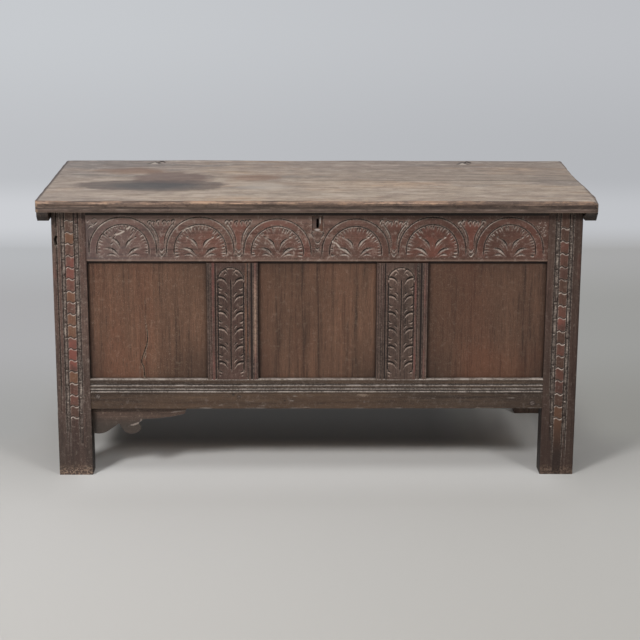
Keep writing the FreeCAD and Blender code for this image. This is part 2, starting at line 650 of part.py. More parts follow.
def key_way():
    """Sinking for the keyhole plate and the way through for the key."""
    y0 = FRONT_PLANE + FACE_SETBACK
    sunk = KEYHOLE_PLATE_SUNK + KEYHOLE_PLATE_THICK
    x = KEYHOLE_PLATE_WIDTH / 2 + NAIL_PLAY
    z = KEYHOLE_PLATE_LENGTH / 2 + NAIL_PLAY
    return [box(-x, x, y0, y0 + sunk, KEYHOLE_LEVEL - z, KEYHOLE_LEVEL + z),
            slot(KEYHOLE_WIDTH + 2 * KEY_WAY_PLAY, KEYHOLE_LENGTH + 2 * KEY_WAY_PLAY,
                 y0, INNER_FRONT, KEYHOLE_LEVEL)]


def lock_nail_places():
    """Heads of the nails through the flanges of the lock."""
    x = (LOCK_WIDTH + LOCK_FLANGE) / 2
    levels = (LOCK_TOP - LOCK_NAIL_FROM_END, LOCK_FOOT + LOCK_NAIL_FROM_END)
    return [V(side * x, INNER_FRONT + LOCK_PLATE, z) for side in (-1, 1) for z in levels]


def lock_nail_holes():
    """Holes for those nails."""
    return [brad(place, V(0, -1, 0), NAIL_SHANK, LOCK_NAIL_LENGTH, NAIL_PLAY) for place in lock_nail_places()]


def bolt_block(x0, x1, play):
    """The section of the lock bolt over a length, with play all round."""
    return box(x0, x1, LOCK_MIDDLE_Y - BOLT_WIDTH / 2 - play, LOCK_MIDDLE_Y + BOLT_WIDTH / 2 + play,
               BOLT_MIDDLE_Z - BOLT_HEIGHT / 2 - play, BOLT_MIDDLE_Z + BOLT_HEIGHT / 2 + play)


def lock_case():
    """A folded iron case, open towards the rail, with nailing flanges, bolt guides and a key pin."""
    half = LOCK_WIDTH / 2
    back = INNER_FRONT + LOCK_DEPTH
    foot = LOCK_FOOT
    shell = box(-half, half, INNER_FRONT, back, foot, LOCK_TOP)
    hollow = box(-half + LOCK_PLATE, half - LOCK_PLATE, INNER_FRONT, back - LOCK_PLATE,
                 foot + LOCK_PLATE, LOCK_TOP - LOCK_PLATE)
    reach = STAPLE_WIDTH / 2 + STAPLE_SLOT_PLAY
    room = STAPLE_BAR / 2 + STAPLE_SLOT_PLAY
    staple_slot = box(STAPLE_FROM_MIDDLE - room, STAPLE_FROM_MIDDLE + room,
                      LOCK_MIDDLE_Y - reach, LOCK_MIDDLE_Y + reach, LOCK_TOP - LOCK_PLATE, LOCK_TOP)
    parts = [cut(shell, [hollow, staple_slot])]
    for side in (-1, 1):
        x0, x1 = sorted((side * half, side * (half + LOCK_FLANGE)))
        parts.append(box(x0, x1, INNER_FRONT, INNER_FRONT + LOCK_PLATE, foot, LOCK_TOP))
    guide_at = BOLT_TIP - BOLT_GUIDE_FROM_TIP
    for x in (guide_at, guide_at - BOLT_GUIDE_SPAN):
        x0 = x - BOLT_GUIDE_THICK / 2
        guide = bolt_block(x0, x0 + BOLT_GUIDE_THICK, BOLT_GUIDE_RIM)
        arm = box(x0, x0 + BOLT_GUIDE_THICK, LOCK_MIDDLE_Y, back - LOCK_PLATE,
                  BOLT_MIDDLE_Z - BOLT_HEIGHT / 2, BOLT_MIDDLE_Z + BOLT_HEIGHT / 2)
        parts.append(guide.fuse(arm).cut(bolt_block(x0, x0 + BOLT_GUIDE_THICK, BOLT_SLIDE_PLAY)))
    pin_at = KEYHOLE_LEVEL + (KEYHOLE_LENGTH - KEYHOLE_WIDTH) / 2
    parts.append(bar(V(0, back, pin_at), V(0, LOCK_PLATE - LOCK_DEPTH, 0), KEY_PIN / 2))
    return cut(join(parts), lock_nail_holes())


def lock_bolt():
    """The sliding bolt, drawn back, with the notch that the key turns in."""
    bolt = bolt_block(BOLT_TIP - BOLT_LENGTH, BOLT_TIP, 0.0)
    middle = BOLT_TIP - BOLT_GUIDE_FROM_TIP - BOLT_GUIDE_SPAN / 2
    foot = BOLT_MIDDLE_Z - BOLT_HEIGHT / 2
    notch = box(middle - BOLT_NOTCH_WIDTH / 2, middle + BOLT_NOTCH_WIDTH / 2,
                LOCK_MIDDLE_Y - BOLT_WIDTH, LOCK_MIDDLE_Y + BOLT_WIDTH, foot, foot + BOLT_NOTCH)
    return cut(bolt, [notch])


def staple_brads(play=0.0):
    """Brads that hold the staple plate, or with play their holes."""
    x = STAPLE_PLATE_LENGTH / 2 - STAPLE_NAIL_INSET
    y = STAPLE_PLATE_WIDTH / 2 - STAPLE_NAIL_INSET
    return [brad(V(STAPLE_FROM_MIDDLE + sx * x, LOCK_MIDDLE_Y + sy * y, CARCASE_HEIGHT), V(0, 0, 1),
                 NAIL_SHANK, STAPLE_NAIL_LENGTH, play) for sx in (-1, 1) for sy in (-1, 1)]


def staple_plate(play=0.0):
    """The plate of the staple, or with play its sinking in the lid."""
    x = STAPLE_PLATE_LENGTH / 2 + play
    y = STAPLE_PLATE_WIDTH / 2 + play
    return box(STAPLE_FROM_MIDDLE - x, STAPLE_FROM_MIDDLE + x, LOCK_MIDDLE_Y - y, LOCK_MIDDLE_Y + y,
               CARCASE_HEIGHT, CARCASE_HEIGHT + LOCK_PLATE)


def lock_staple():
    """The staple under the lid: a sunk plate with a round-ended loop for the bolt."""
    x0 = STAPLE_FROM_MIDDLE - STAPLE_BAR / 2
    x1 = x0 + STAPLE_BAR
    foot = CARCASE_HEIGHT - STAPLE_DROP
    radius = STAPLE_WIDTH / 2
    loop = box(x0, x1, LOCK_MIDDLE_Y - radius, LOCK_MIDDLE_Y + radius, foot + radius, CARCASE_HEIGHT)
    nose = Part.makeCylinder(radius, STAPLE_BAR, V(x0, LOCK_MIDDLE_Y, foot + radius), V(1, 0, 0))
    eye_foot = foot + STAPLE_EYE_FROM_END
    eye = box(x0, x1, LOCK_MIDDLE_Y - STAPLE_EYE_WIDTH / 2, LOCK_MIDDLE_Y + STAPLE_EYE_WIDTH / 2,
              eye_foot, eye_foot + STAPLE_EYE_HEIGHT)
    return cut(join([staple_plate(), loop, nose]), [eye] + staple_brads(NAIL_PLAY))


# ---------------------------------------------------------------- lid
def lid_edge_outline():
    """Section of the front board: a round nose, a hollow and a fillet under it."""
    x = -LID_LENGTH / 2
    joint = LID_FRONT + LID_FRONT_BOARD
    nose = LID_NOSE_RADIUS
    slant = nose * (1 - math.sqrt(0.5))
    lip = LID_TOP - LID_NOSE_HEIGHT
    fillet = CARCASE_HEIGHT + LID_FILLET_HEIGHT
    hollow = LID_FRONT + LID_HOLLOW_DEPTH
    face = LID_FRONT + LID_FILLET_SETBACK
    points = [V(x, joint, LID_TOP), V(x, LID_FRONT + nose, LID_TOP), V(x, LID_FRONT, LID_TOP - nose),
              V(x, LID_FRONT, lip), V(x, hollow, lip), V(x, face, fillet), V(x, face, CARCASE_HEIGHT),
              V(x, joint, CARCASE_HEIGHT)]
    round_nose = Part.Arc(points[1], V(x, LID_FRONT + slant, LID_TOP - slant), points[2])
    round_hollow = Part.Arc(points[4], V(x, hollow, (lip + fillet) / 2), points[5])
    edges = [Part.LineSegment(points[0], points[1]), round_nose, Part.LineSegment(points[2], points[3]),
             Part.LineSegment(points[3], points[4]), round_hollow, Part.LineSegment(points[5], points[6]),
             Part.LineSegment(points[6], points[7]), Part.LineSegment(points[7], points[0])]
    return Part.Wire([edge.toShape() for edge in edges])


def dowels(play=0.0):
    """Loose dowels in the joint of the two lid boards, or with play their holes."""
    reach = DOWEL_LENGTH / 2 + 10 * play
    span = LID_LENGTH - 2 * DOWEL_FROM_END
    joint = LID_FRONT + LID_FRONT_BOARD
    level = CARCASE_HEIGHT + LID_THICK / 2
    return [bar(V(-span / 2 + i * span / (DOWEL_COUNT - 1), joint - reach, level), V(0, 2 * reach, 0),
                DOWEL_DIAMETER / 2 + play) for i in range(DOWEL_COUNT)]


def cleat_nail_places(side):
    """Heads of the nails up through a cleat into the lid."""
    x = side * (HALF_LENGTH + CLEAT_GAP + CLEAT_WIDTH / 2)
    y0 = LID_FRONT + CLEAT_NAIL_FROM_END
    pitch = (LID_DEPTH - 2 * CLEAT_NAIL_FROM_END) / (CLEAT_NAILS - 1)
    return [V(x, y0 + i * pitch, CARCASE_HEIGHT - CLEAT_HEIGHT) for i in range(CLEAT_NAILS)]


def cleat_nail_holes():
    """Holes for the nails of both cleats."""
    return [brad(place, V(0, 0, 1), NAIL_SHANK, NAIL_LENGTH, NAIL_PLAY)
            for side in (-1, 1) for place in cleat_nail_places(side)]


def cleat(side):
    """A batten under one end of the lid, its front end chamfered below."""
    x0, x1 = sorted((side * (HALF_LENGTH + CLEAT_GAP), side * (HALF_LENGTH + CLEAT_GAP + CLEAT_WIDTH)))
    y0 = LID_FRONT + CLEAT_END_INSET
    y1 = LID_BACK - CLEAT_END_INSET
    foot = CARCASE_HEIGHT - CLEAT_HEIGHT
    outline = [V(x0, y0, CARCASE_HEIGHT), V(x0, y0, foot + CLEAT_NOSE), V(x0, y0 + CLEAT_NOSE, foot),
               V(x0, y1, foot), V(x0, y1, CARCASE_HEIGHT)]
    return cut(prism(outline, V(x1 - x0, 0, 0)), cleat_nail_holes())


def lid_pieces():
    """The two boards, their dowels, the cleats and the iron that the lid carries."""
    joint = LID_FRONT + LID_FRONT_BOARD
    half = LID_LENGTH / 2
    common = dowels(DOWEL_PLAY) + cleat_nail_holes()
    front = Part.Face(lid_edge_outline()).extrude(V(LID_LENGTH, 0, 0))
    rear = box(-half, half, joint, LID_BACK, CARCASE_HEIGHT, LID_TOP)
    rooms = lid_eye_room(-HINGE_FROM_MIDDLE) + lid_eye_room(HINGE_FROM_MIDDLE)
    nails = [nail(place, V(0, 0, 1), NAIL_LENGTH) for side in (-1, 1) for place in cleat_nail_places(side)]
    return {
        "lid_front_board": cut(front, common + [staple_plate(IRON_PLAY)] + staple_brads(NAIL_PLAY)),
        "lid_rear_board": cut(rear, common + rooms),
        "lid_dowels": Part.makeCompound(dowels()),
        "lid_cleat_left": cleat(-1),
        "lid_cleat_right": cleat(1),
        "lid_cleat_nails": Part.makeCompound(nails),
        "lid_hinge_eye_left": lid_eye(-HINGE_FROM_MIDDLE),
        "lid_hinge_eye_right": lid_eye(HINGE_FROM_MIDDLE),
        "lock_staple": lock_staple(),
        "lock_staple_brads": Part.makeCompound(staple_brads()),
    }


# ---------------------------------------------------------------- the whole chest
def carcase_pieces():
    """Every piece of the box itself."""
    pieces = {}
    for wall in WALLS:
        pieces.update({name: wall.set_in_place(piece) for name, piece in wall_pieces(wall).items()})
    dress_front(pieces)
    pieces["back_bottom_rail"] = cut(pieces["back_bottom_rail"], [BACK.set_in_place(floor_groove())])
    rooms = rail_eye_room(-HINGE_FROM_MIDDLE) + rail_eye_room(HINGE_FROM_MIDDLE)
    pieces["back_top_rail"] = cut(pieces["back_top_rail"], rooms)
    for side, side_name in ((-1, "left"), (1, "right")):
        for end, end_name in ((-1, "front"), (1, "back")):
            pieces["post_" + end_name + "_" + side_name] = post(side, end)
        pieces["rail_hinge_eye_" + side_name] = rail_eye(side * HINGE_FROM_MIDDLE)
    for index in range(FLOOR_BOARDS):
        pieces["floor_board_" + str(index + 1)] = floor_board(index)
    pieces["scroll_bracket"] = scroll_bracket()
    pieces["bracket_brads"] = Part.makeCompound(bracket_brads())
    pieces["keyhole_plate"] = keyhole_plate()
    pieces["keyhole_plate_pins"] = Part.makeCompound(plate_pins())
    pieces["lock_case"] = lock_case()
    pieces["lock_bolt"] = lock_bolt()
    pieces["lock_nails"] = Part.makeCompound(
        [nail(place, V(0, -1, 0), LOCK_NAIL_LENGTH) for place in lock_nail_places()])
    return pieces


os.makedirs("parts", exist_ok=True)
for name, shape in {**carcase_pieces(), **lid_pieces()}.items():
    shape.exportStep("parts/" + name + ".step")
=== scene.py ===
"""A joined and carved oak coffer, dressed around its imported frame."""

from __future__ import annotations

import logging
import math
from contextlib import contextmanager
from dataclasses import dataclass, field
from enum import Enum
from typing import Callable, Iterator, Sequence

import bpy
import numpy as np
from mathutils import Euler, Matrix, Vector


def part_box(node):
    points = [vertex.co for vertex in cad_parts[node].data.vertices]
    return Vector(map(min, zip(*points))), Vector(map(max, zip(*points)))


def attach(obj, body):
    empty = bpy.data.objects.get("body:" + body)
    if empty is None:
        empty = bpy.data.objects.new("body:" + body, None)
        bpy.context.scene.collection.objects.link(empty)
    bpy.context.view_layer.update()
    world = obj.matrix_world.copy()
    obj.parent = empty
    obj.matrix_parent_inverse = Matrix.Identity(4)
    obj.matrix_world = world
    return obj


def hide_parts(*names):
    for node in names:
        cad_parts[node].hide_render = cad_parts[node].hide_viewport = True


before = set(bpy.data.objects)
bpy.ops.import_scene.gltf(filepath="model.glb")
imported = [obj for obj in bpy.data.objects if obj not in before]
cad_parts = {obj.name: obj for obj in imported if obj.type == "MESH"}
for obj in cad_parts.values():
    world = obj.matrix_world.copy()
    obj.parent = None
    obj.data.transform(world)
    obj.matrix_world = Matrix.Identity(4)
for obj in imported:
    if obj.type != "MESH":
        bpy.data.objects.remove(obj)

LOG = logging.getLogger("coffer")
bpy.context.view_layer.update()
MM = 0.001
SEED = 1660
COAT_ROUGHNESS = 0.35
SPECULAR = 0.32

Triple = tuple[float, float, float]
Point = tuple[float, float]
Span = tuple[float, float]
Path = Sequence[Point]
Material = bpy.types.Material
Piece = bpy.types.Object
Socket = bpy.types.NodeSocket
Array = np.ndarray
Draw = np.random.Generator


def srgb(red: float, green: float, blue: float) -> Triple:
    """Turn a colour as it is seen, 0 to 255, into the linear one that a shader takes.

    Args:
        red: Red, 0 to 255.
        green: Green, 0 to 255.
        blue: Blue, 0 to 255.

    Returns:
        The linear colour.
    """
    def linear(value: float) -> float:
        """Straighten one channel."""
        share = value / 255
        return share / 12.92 if share <= 0.04045 else ((share + 0.055) / 1.055) ** 2.4

    return linear(red), linear(green), linear(blue)


# --------------------------------------------------------------------------- shader sums
def sums(operation: str, turned: bool = False) -> Callable[[Flow, object], Flow]:
    """Write the method for one operation of the Math node.

    Args:
        operation: The operation.
        turned: Whether the other value comes first, as in 1 - mask.

    Returns:
        The method.
    """
    def method(self: Flow, other: object = 0.0) -> Flow:
        """Add the operation's node."""
        first, second = (other, self) if turned else (self, other)
        return self.bench.node("ShaderNodeMath", {"operation": operation}, {0: first, 1: second})

    return method


class Flow:
    """A shader value or colour that can be used in Python sums."""

    __add__, __radd__ = sums("ADD"), sums("ADD", turned=True)
    __sub__, __rsub__ = sums("SUBTRACT"), sums("SUBTRACT", turned=True)
    __mul__, __rmul__ = sums("MULTIPLY"), sums("MULTIPLY", turned=True)
    __truediv__, __pow__, __abs__ = sums("DIVIDE"), sums("POWER"), sums("ABSOLUTE")
    most, least = sums("MAXIMUM"), sums("MINIMUM")

    def __init__(self, bench: Bench, socket: Socket) -> None:
        """Wrap one output socket of a bench's node tree."""
        self.bench = bench
        self.socket = socket

    def __neg__(self) -> Flow:
        """Turn the sign."""
        return self * -1.0

    def ramp(self, low: float, high: float) -> Flow:
        """Rise smoothly from 0 at low to 1 at high, or fall where low is the larger."""
        start, end, first, last = (low, high, 0.0, 1.0) if low < high else (high, low, 1.0, 0.0)
        return self.bench.node("ShaderNodeMapRange", {"interpolation_type": "SMOOTHSTEP"},
                               {0: self, 1: start, 2: end, 3: first, 4: last})


class Bench:
    """The node tree of one material, on which a finish is mixed."""

    def __init__(self, name: str) -> None:
        """Make an empty material with its shader and output."""
        self.material = bpy.data.materials.new(name)
        self.material.use_nodes = True
        self.tree = self.material.node_tree
        self.tree.nodes.clear()
        self.output = self.tree.nodes.new("ShaderNodeOutputMaterial")
        self.shader = self.tree.nodes.new("ShaderNodeBsdfPrincipled")
        self.link(self.shader.outputs[0], self.output.inputs[0])
        self.place = self.node("ShaderNodeTexCoord", out="Object")
        self.tone: Flow | None = None

    def link(self, source: Socket, target: Socket) -> None:
        """Link an output to an input."""
        self.tree.links.new(source, target)

    def plug(self, socket: Socket, value: object) -> None:
        """Link a flow to a socket, or set a plain value on it; colours are given as seen, 0 to 255."""
        if isinstance(value, Flow):
            self.link(value.socket, socket)
        elif socket.type == "RGBA":
            socket.default_value = (*srgb(*value), 1.0)
        else:
            socket.default_value = value

    def node(self, kind: str, settings: dict | None = None, sockets: dict | None = None,
             out: int | str = 0) -> Flow:
        """Add a node.

        Args:
            kind: Blender's name of the node type.
            settings: Attributes that are set first.
            sockets: Values or flows by socket name or number.
            out: The output to return.

        Returns:
            That output.
        """
        made = self.tree.nodes.new(kind)
        for key, value in (settings or {}).items():
            setattr(made, key, value)
        for key, value in (sockets or {}).items():
            self.plug(made.inputs[key], value)
        return Flow(self, made.outputs[out])

    def blend(self, share: object, first: object, second: object) -> Flow:
        """Mix two colours."""
        return self.node("ShaderNodeMix", {"data_type": "RGBA"}, {0: share, 6: first, 7: second}, 2)

    def mix(self, share: Flow, first: Socket, second: Socket) -> Socket:
        """Mix two shaders."""
        sockets = {0: share, 1: Flow(self, first), 2: Flow(self, second)}
        return self.node("ShaderNodeMixShader", {}, sockets).socket

    def lay(self, share: object, colour: object) -> None:
        """Lay a share of a colour over the tone that is being mixed."""
        self.tone = self.blend(share, self.tone, colour)

    def split(self) -> list[Flow]:
        """The object coordinates across, deep and high, in metres."""
        parts = self.node("ShaderNodeSeparateXYZ", {}, {0: self.place}).socket.node.outputs
        return [Flow(self, part) for part in parts]

    def vector(self, operation: str, first: object, second: object) -> Flow:
        """Add one Vector Math node."""
        return self.node("ShaderNodeVectorMath", {"operation": operation}, {0: first, 1: second})

    def noise(self, scale: float | Triple, detail: float = 4.0, rough: float = 0.55, warp: float = 0.0,
              shift: Triple | None = None, place: Flow | None = None) -> Flow:
        """Fractal noise, 0 to 1.

        Args:
            scale: Its scale, or a scale for each axis.
            detail: Number of finer layers.
            rough: How strong those are.
            warp: How much it is distorted.
            shift: Where it starts, in units of the scaled place.
            place: The place that it follows, the object coordinates if none is given.

        Returns:
            The noise.
        """
        place = place or self.place
        if isinstance(scale, tuple):
            place, scale = self.vector("MULTIPLY", place, scale), 1.0
        if shift is not None:
            place = self.vector("ADD", place, shift)
        return self.node("ShaderNodeTexNoise", {}, {"Vector": place, "Scale": scale, "Detail": detail,
                                                    "Roughness": rough, "Distortion": warp}, "Fac")

    def attribute(self, name: str) -> Flow:
        """A value stored on the mesh."""
        return self.node("ShaderNodeAttribute", {"attribute_name": name}, out="Fac")

    def finish(self, rough: object, bumps: Sequence[tuple[Flow, float, float]], metal: float = 0.0,
               coat: float = 0.0) -> Material:
        """Feed the shader with the mixed tone.

        Args:
            rough: Roughness.
            bumps: Heights, each with its strength and its real distance in metres.
            metal: Metallic.
            coat: Weight of the clear coat.

        Returns:
            The finished material.
        """
        normal = {}
        for height, strength, distance in bumps:
            sockets = {"Strength": strength, "Distance": distance, "Height": height}
            normal = {"Normal": self.node("ShaderNodeBump", {}, sockets | normal)}
        sockets = {"Base Color": self.tone, "Roughness": rough, "Metallic": metal, "Coat Weight": coat,
                   "Coat Roughness": COAT_ROUGHNESS, "Specular IOR Level": SPECULAR}
        for key, value in (sockets | normal).items():
            self.plug(self.shader.inputs[key], value)
        return self.material


def rim_reach(wide: Flow, long: Flow, half_wide: float, half_long: float) -> Flow:
    """Distance from the middle of an ellipse, 1 on its rim.

    Args:
        wide: Place across from its middle.
        long: Place along from its middle.
        half_wide: Half its width.
        half_long: Half its length.

    Returns:
        The distance.
    """
    first, second = wide / half_wide, long / half_long
    return (first * first + second * second) ** 0.5


# --------------------------------------------------------------------------- finishes
class Grain(Enum):
    """The way the grain of a board runs."""

    ALONG = 0
    DEEP = 1
    UP = 2

    def spread(self, along: float, across: float) -> Triple:
        """Scales for noise that is drawn out along the grain."""
        scale = [across, across, across]
        scale[self.value] = along
        return scale[0], scale[1], scale[2]


@dataclass(frozen=True)
class Oak:
    """Old oak under wax and dirt, with painted light and shade where it is carved.

    Attributes:
        name: Name of the finish.
        grain: Way of the grain.
        dark: Colour of the dark streaks.
        middle: Main colour.
        light: Colour of the pale streaks.
        red: Warm colour that shows in patches.
        warmth: How much of the red shows, 0 to 1.
        worn: Colour of rubbed edges, also used for the painted highlights on faces that look up.
        rough: Mean roughness.
        carved: Whether the mesh carries its depth of cut, which also sets its painted light and shade.
        relief: Strength of the open grain.
        mottle: How blotched the surface is by handling and dirt, 0 to 1.
        marks: Adds stains and wear of one piece over its wood.
    """

    name: str
    grain: Grain
    dark: Triple
    middle: Triple
    light: Triple
    red: Triple
    warmth: float = 0.35
    worn: Triple = (168, 150, 132)
    rough: float = 0.52
    carved: bool = False
    relief: float = 0.35
    mottle: float = 0.0
    marks: Callable[[Bench], None] | None = None

    def wood(self, bench: Bench) -> tuple[Flow, Flow]:
        """Mix the plain wood as the bench's tone.

        Args:
            bench: The material being mixed.

        Returns:
            The height of its grain and its broad cloudiness.
        """
        drift = bench.node("ShaderNodeVectorMath", {"operation": "SCALE"},
                           {0: (1.7, 0.9, 2.3), "Scale": bench.attribute("board")})
        place = bench.vector("ADD", bench.place, drift)
        broad, bands, lines, fine, pores = (
            bench.noise(self.grain.spread(along, across), detail, rough, warp, place=place)
            for along, across, detail, rough, warp in (
                (1.3, 7.0, 5.0, 0.6, 0.6), (2.2, 62.0, 6.0, 0.62, 0.35), (7.0, 170.0, 4.0, 0.65, 0.0),
                (14.0, 420.0, 5.0, 0.7, 0.0), (55.0, 950.0, 2.0, 0.5, 0.0)))
        patches = bench.noise(3.1, place=place)
        speck = bench.noise(520.0, 3.0, 0.6, place=place)
        streaks = bands * 0.42 + lines * 0.33 + fine * 0.25
        bench.tone = bench.blend(streaks.ramp(0.38, 0.51), self.dark, self.middle)
        bench.lay(streaks.ramp(0.51, 0.62) * 0.75, self.light)
        bench.lay(broad.ramp(0.42, 0.70) * self.warmth, self.red)
        bench.lay(patches.ramp(0.60, 0.36) * 0.42, self.dark)
        bench.lay(pores.ramp(0.44, 0.34) * 0.55, self.dark)
        bench.lay(speck.ramp(0.58, 0.70) * 0.30, self.worn)
        bench.lay(speck.ramp(0.42, 0.30) * 0.35, self.dark)
        if self.mottle:
            blots = bench.noise(95.0, 4.0, 0.7, place=place)
            bench.lay(blots.ramp(0.54, 0.68) * (0.34 * self.mottle), self.worn)
            bench.lay(blots.ramp(0.47, 0.33) * (0.42 * self.mottle), self.dark)
        return fine * 0.5 + bands * 0.3 + pores.ramp(0.34, 0.46) * 0.5, patches

    def carving(self, bench: Bench) -> None:
        """Lay old colour, dirt, rubbing, painted shade in cuts and painted highlights on ledges, as the mesh
        tells where.
        """
        cut, ledge, rub, red, ochre, grime, shade = (
            bench.attribute(key) for key in ("cut", "ledge", "rub", "red", "ochre", "grime", "shade"))
        nibble = bench.noise(260.0, 3.0, 0.6).ramp(0.38, 0.62)
        ruddy = bench.noise(16.0, 4.0, 0.65, shift=(3.0, 0.0, 1.0)).ramp(0.40, 0.60)
        spots = bench.noise(42.0, 3.0, 0.6).ramp(0.45, 0.62)
        bench.lay((red * (0.30 + ruddy)).least(1.0), self.red)
        bench.lay(ochre.least(1.0), (124, 86, 62))
        # Dirt and painted shade: dark scoops of the notched strips and painted shadow along the panel edges.
        bench.lay(grime.least(1.0) * 0.9, (26, 18, 15))
        # Painted shade: the deeper a cell is cut, the darker it is painted.
        bench.lay(cut.ramp(0.2, 1.6) * 0.88, (27, 18, 15))
        bench.lay(shade * 0.45, (27, 18, 15))
        # Painted highlights on faces that look up and on bright strokes, with pale chipped wear, in the rubbed
        # colour.
        bench.lay(ledge * (0.16 + nibble * 0.38 + spots * 0.44), self.worn)
        bench.lay(rub * nibble * 0.5, self.worn)

    def make(self) -> Material:
        """Mix the whole finish."""
        bench = Bench(self.name)
        height, patches = self.wood(bench)
        rough = patches * 0.16 + (self.rough - 0.08)
        if self.marks is not None:
            self.marks(bench)
        if self.carved:
            self.carving(bench)
            rough = rough + bench.attribute("cut").ramp(0.2, 1.5) * 0.18
        return bench.finish(rough, [(height, self.relief, 0.0009)], coat=0.03)


@dataclass(frozen=True)
class Iron:
    """Hand-forged iron gone dark and dull."""

    name: str
    base: Triple = (58, 52, 50)
    rust: Triple = (84, 60, 48)
    bare: Triple = (118, 110, 104)
    rough: float = 0.55
    slotted: bool = False

    def make(self) -> Material:
        """Mix the finish."""
        bench = Bench(self.name)
        cloud = bench.noise(90.0, 5.0, 0.6)
        pits = bench.noise(900.0, 3.0, 0.6)
        bench.tone = bench.blend(cloud.ramp(0.45, 0.62), self.base, self.rust)
        bench.lay(pits.ramp(0.58, 0.72) * 0.5, self.bare)
        if self.slotted:
            across, _, high = bench.split()
            side = rim_reach(across - 0.0056, high - 0.5950, 0.0014, 0.0075)
            rim = side.least(rim_reach(across + 0.0005, high - 0.5738, 0.0060, 0.0024))
            bench.lay((rim + (pits - 0.5) * 1.5).ramp(1.3, 0.7) * 0.75, (206, 196, 188))
        return bench.finish(cloud * 0.3 + (self.rough - 0.1), [(cloud, 0.5, 0.0006), (pits, 0.4, 0.0002)],
                            metal=0.65)


# --------------------------------------------------------------------------- workshop
def clear_choice() -> None:
    """Leave object mode with nothing selected."""
    if bpy.context.object is not None and bpy.context.object.mode != "OBJECT":
        bpy.ops.object.mode_set(mode="OBJECT")
    bpy.ops.object.select_all(action="DESELECT")


def pick(piece: Piece) -> None:
    """Select one piece alone and make it active."""
    clear_choice()
    piece.select_set(True)
    bpy.context.view_layer.objects.active = piece


@contextmanager
def editing(action: str = "SELECT", kind: str = "VERT") -> Iterator[None]:
    """Open the active piece in edit mode with all or none of it chosen, and close it again.

    Args:
        action: What select_all does first.
        kind: Whether corners or edges are chosen.
    """
    bpy.ops.object.mode_set(mode="EDIT")
    bpy.ops.mesh.select_mode(type=kind)
    bpy.ops.mesh.select_all(action=action)
    yield
    bpy.ops.mesh.select_mode(type="VERT")
    bpy.ops.object.mode_set(mode="OBJECT")


def seed_of(name: str) -> int:
    """A number of its own for each piece, the same on each run."""
    return SEED + sum((place + 1) * ord(letter) for place, letter in enumerate(name))


def number(piece: Piece, key: str, values: Array | float) -> None:
    """Store a value on each vertex of a piece.

    Args:
        piece: The piece.
        key: Name of the attribute.
        values: One number, or one for each vertex.
    """
    count = len(piece.data.vertices)
    store = piece.data.attributes.get(key) or piece.data.attributes.new(key, "FLOAT", "POINT")
    store.data.foreach_set("value", np.broadcast_to(np.asarray(values, np.float32), (count,)).copy())


def dress(piece: Piece, material: Material, body: str,
          nodes: Sequence[str] = ()) -> Piece:
    """Give a finished piece its finish and its body, and hide the nodes that it stands for.

    Args:
        piece: The piece, in place.
        material: Its finish.
        body: The body that it moves with.
        nodes: The nodes that it replaces.

    Returns:
        The piece.
    """
    piece.data.materials.clear()
    piece.data.materials.append(material)
    number(piece, "board", (seed_of(piece.name) % 97) / 9.7)
    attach(piece, body)
    if nodes:
        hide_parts(*nodes)
    LOG.info("%s: %d faces", piece.name, len(piece.data.polygons))
    return piece


def copy_of(node: str, name: str, soften: float = 0.0) -> Piece:
    """Copy a node into a piece of its own, merged, with its arrises softened.

    Args:
        node: Name of the node.
        name: Name of the new piece.
        soften: Width of the softened arris in mm.

    Returns:
        The piece.
    """
    clear_choice()
    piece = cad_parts[node].copy()
    piece.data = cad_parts[node].data.copy()
    piece.name = name
    piece.parent = None
    for key in list(piece.keys()):
        del piece[key]
    bpy.context.scene.collection.objects.link(piece)
    piece.matrix_world.identity()
    pick(piece)
    with editing():
        bpy.ops.mesh.remove_doubles(threshold=0.00002)
        bpy.ops.mesh.dissolve_limited(angle_limit=math.radians(2.0))
    if soften:
        worn = piece.modifiers.new("worn", "BEVEL")
        worn.width = soften * MM
        worn.segments = 2
        worn.limit_method = "ANGLE"
        worn.angle_limit = math.radians(40)
        worn.use_clamp_overlap = True
        bpy.ops.object.modifier_apply(modifier="worn")
    bpy.ops.object.shade_smooth_by_angle(angle=math.radians(35))
    return piece


def unit(values: Array | float) -> Array:
    """Keep values between 0 and 1."""
    return np.clip(values, 0, 1)


def smooth_path(points: Path, step: float) -> Array:
    """Run a smooth line through a few points.

    Args:
        points: The points, in mm.
        step: Spacing of the result, in mm.

    Returns:
        The line's points, one in each row.
    """
    knots = np.asarray(points, float)
    if len(knots) == 2:
        count = max(2, int(np.hypot(*(knots[1] - knots[0])) / step) + 1)
        return knots[0] + (knots[1] - knots[0]) * np.linspace(0, 1, count)[:, None]
    padded = np.vstack([2 * knots[0] - knots[1], knots, 2 * knots[-1] - knots[-2]])
    line = []
    for before, start, end, after in zip(padded, padded[1:], padded[2:], padded[3:]):
        count = max(2, int(np.hypot(*(end - start)) / step) + 1)
        t = np.linspace(0, 1, count, endpoint=False)[:, None]
        line.append(0.5 * (2 * start + (end - before) * t
                           + (2 * before - 5 * start + 4 * end - after) * t ** 2
                           + (3 * start - before - 3 * end + after) * t ** 3))
    return np.vstack([*line, knots[-1:]])


def arc(centre: Point, radius: float, start: float, end: float) -> list[Point]:
    """Points on part of a circle.

    Args:
        centre: Its centre, in mm.
        radius: Its radius, in mm.
        start: First angle in degrees, from the right and up.
        end: Last angle.

    Returns:
        The points.
    """
    turns = np.radians(np.linspace(start, end, max(5, int(abs(end - start) / 12))))
    return [(centre[0] + radius * math.cos(turn), centre[1] + radius * math.sin(turn)) for turn in turns]


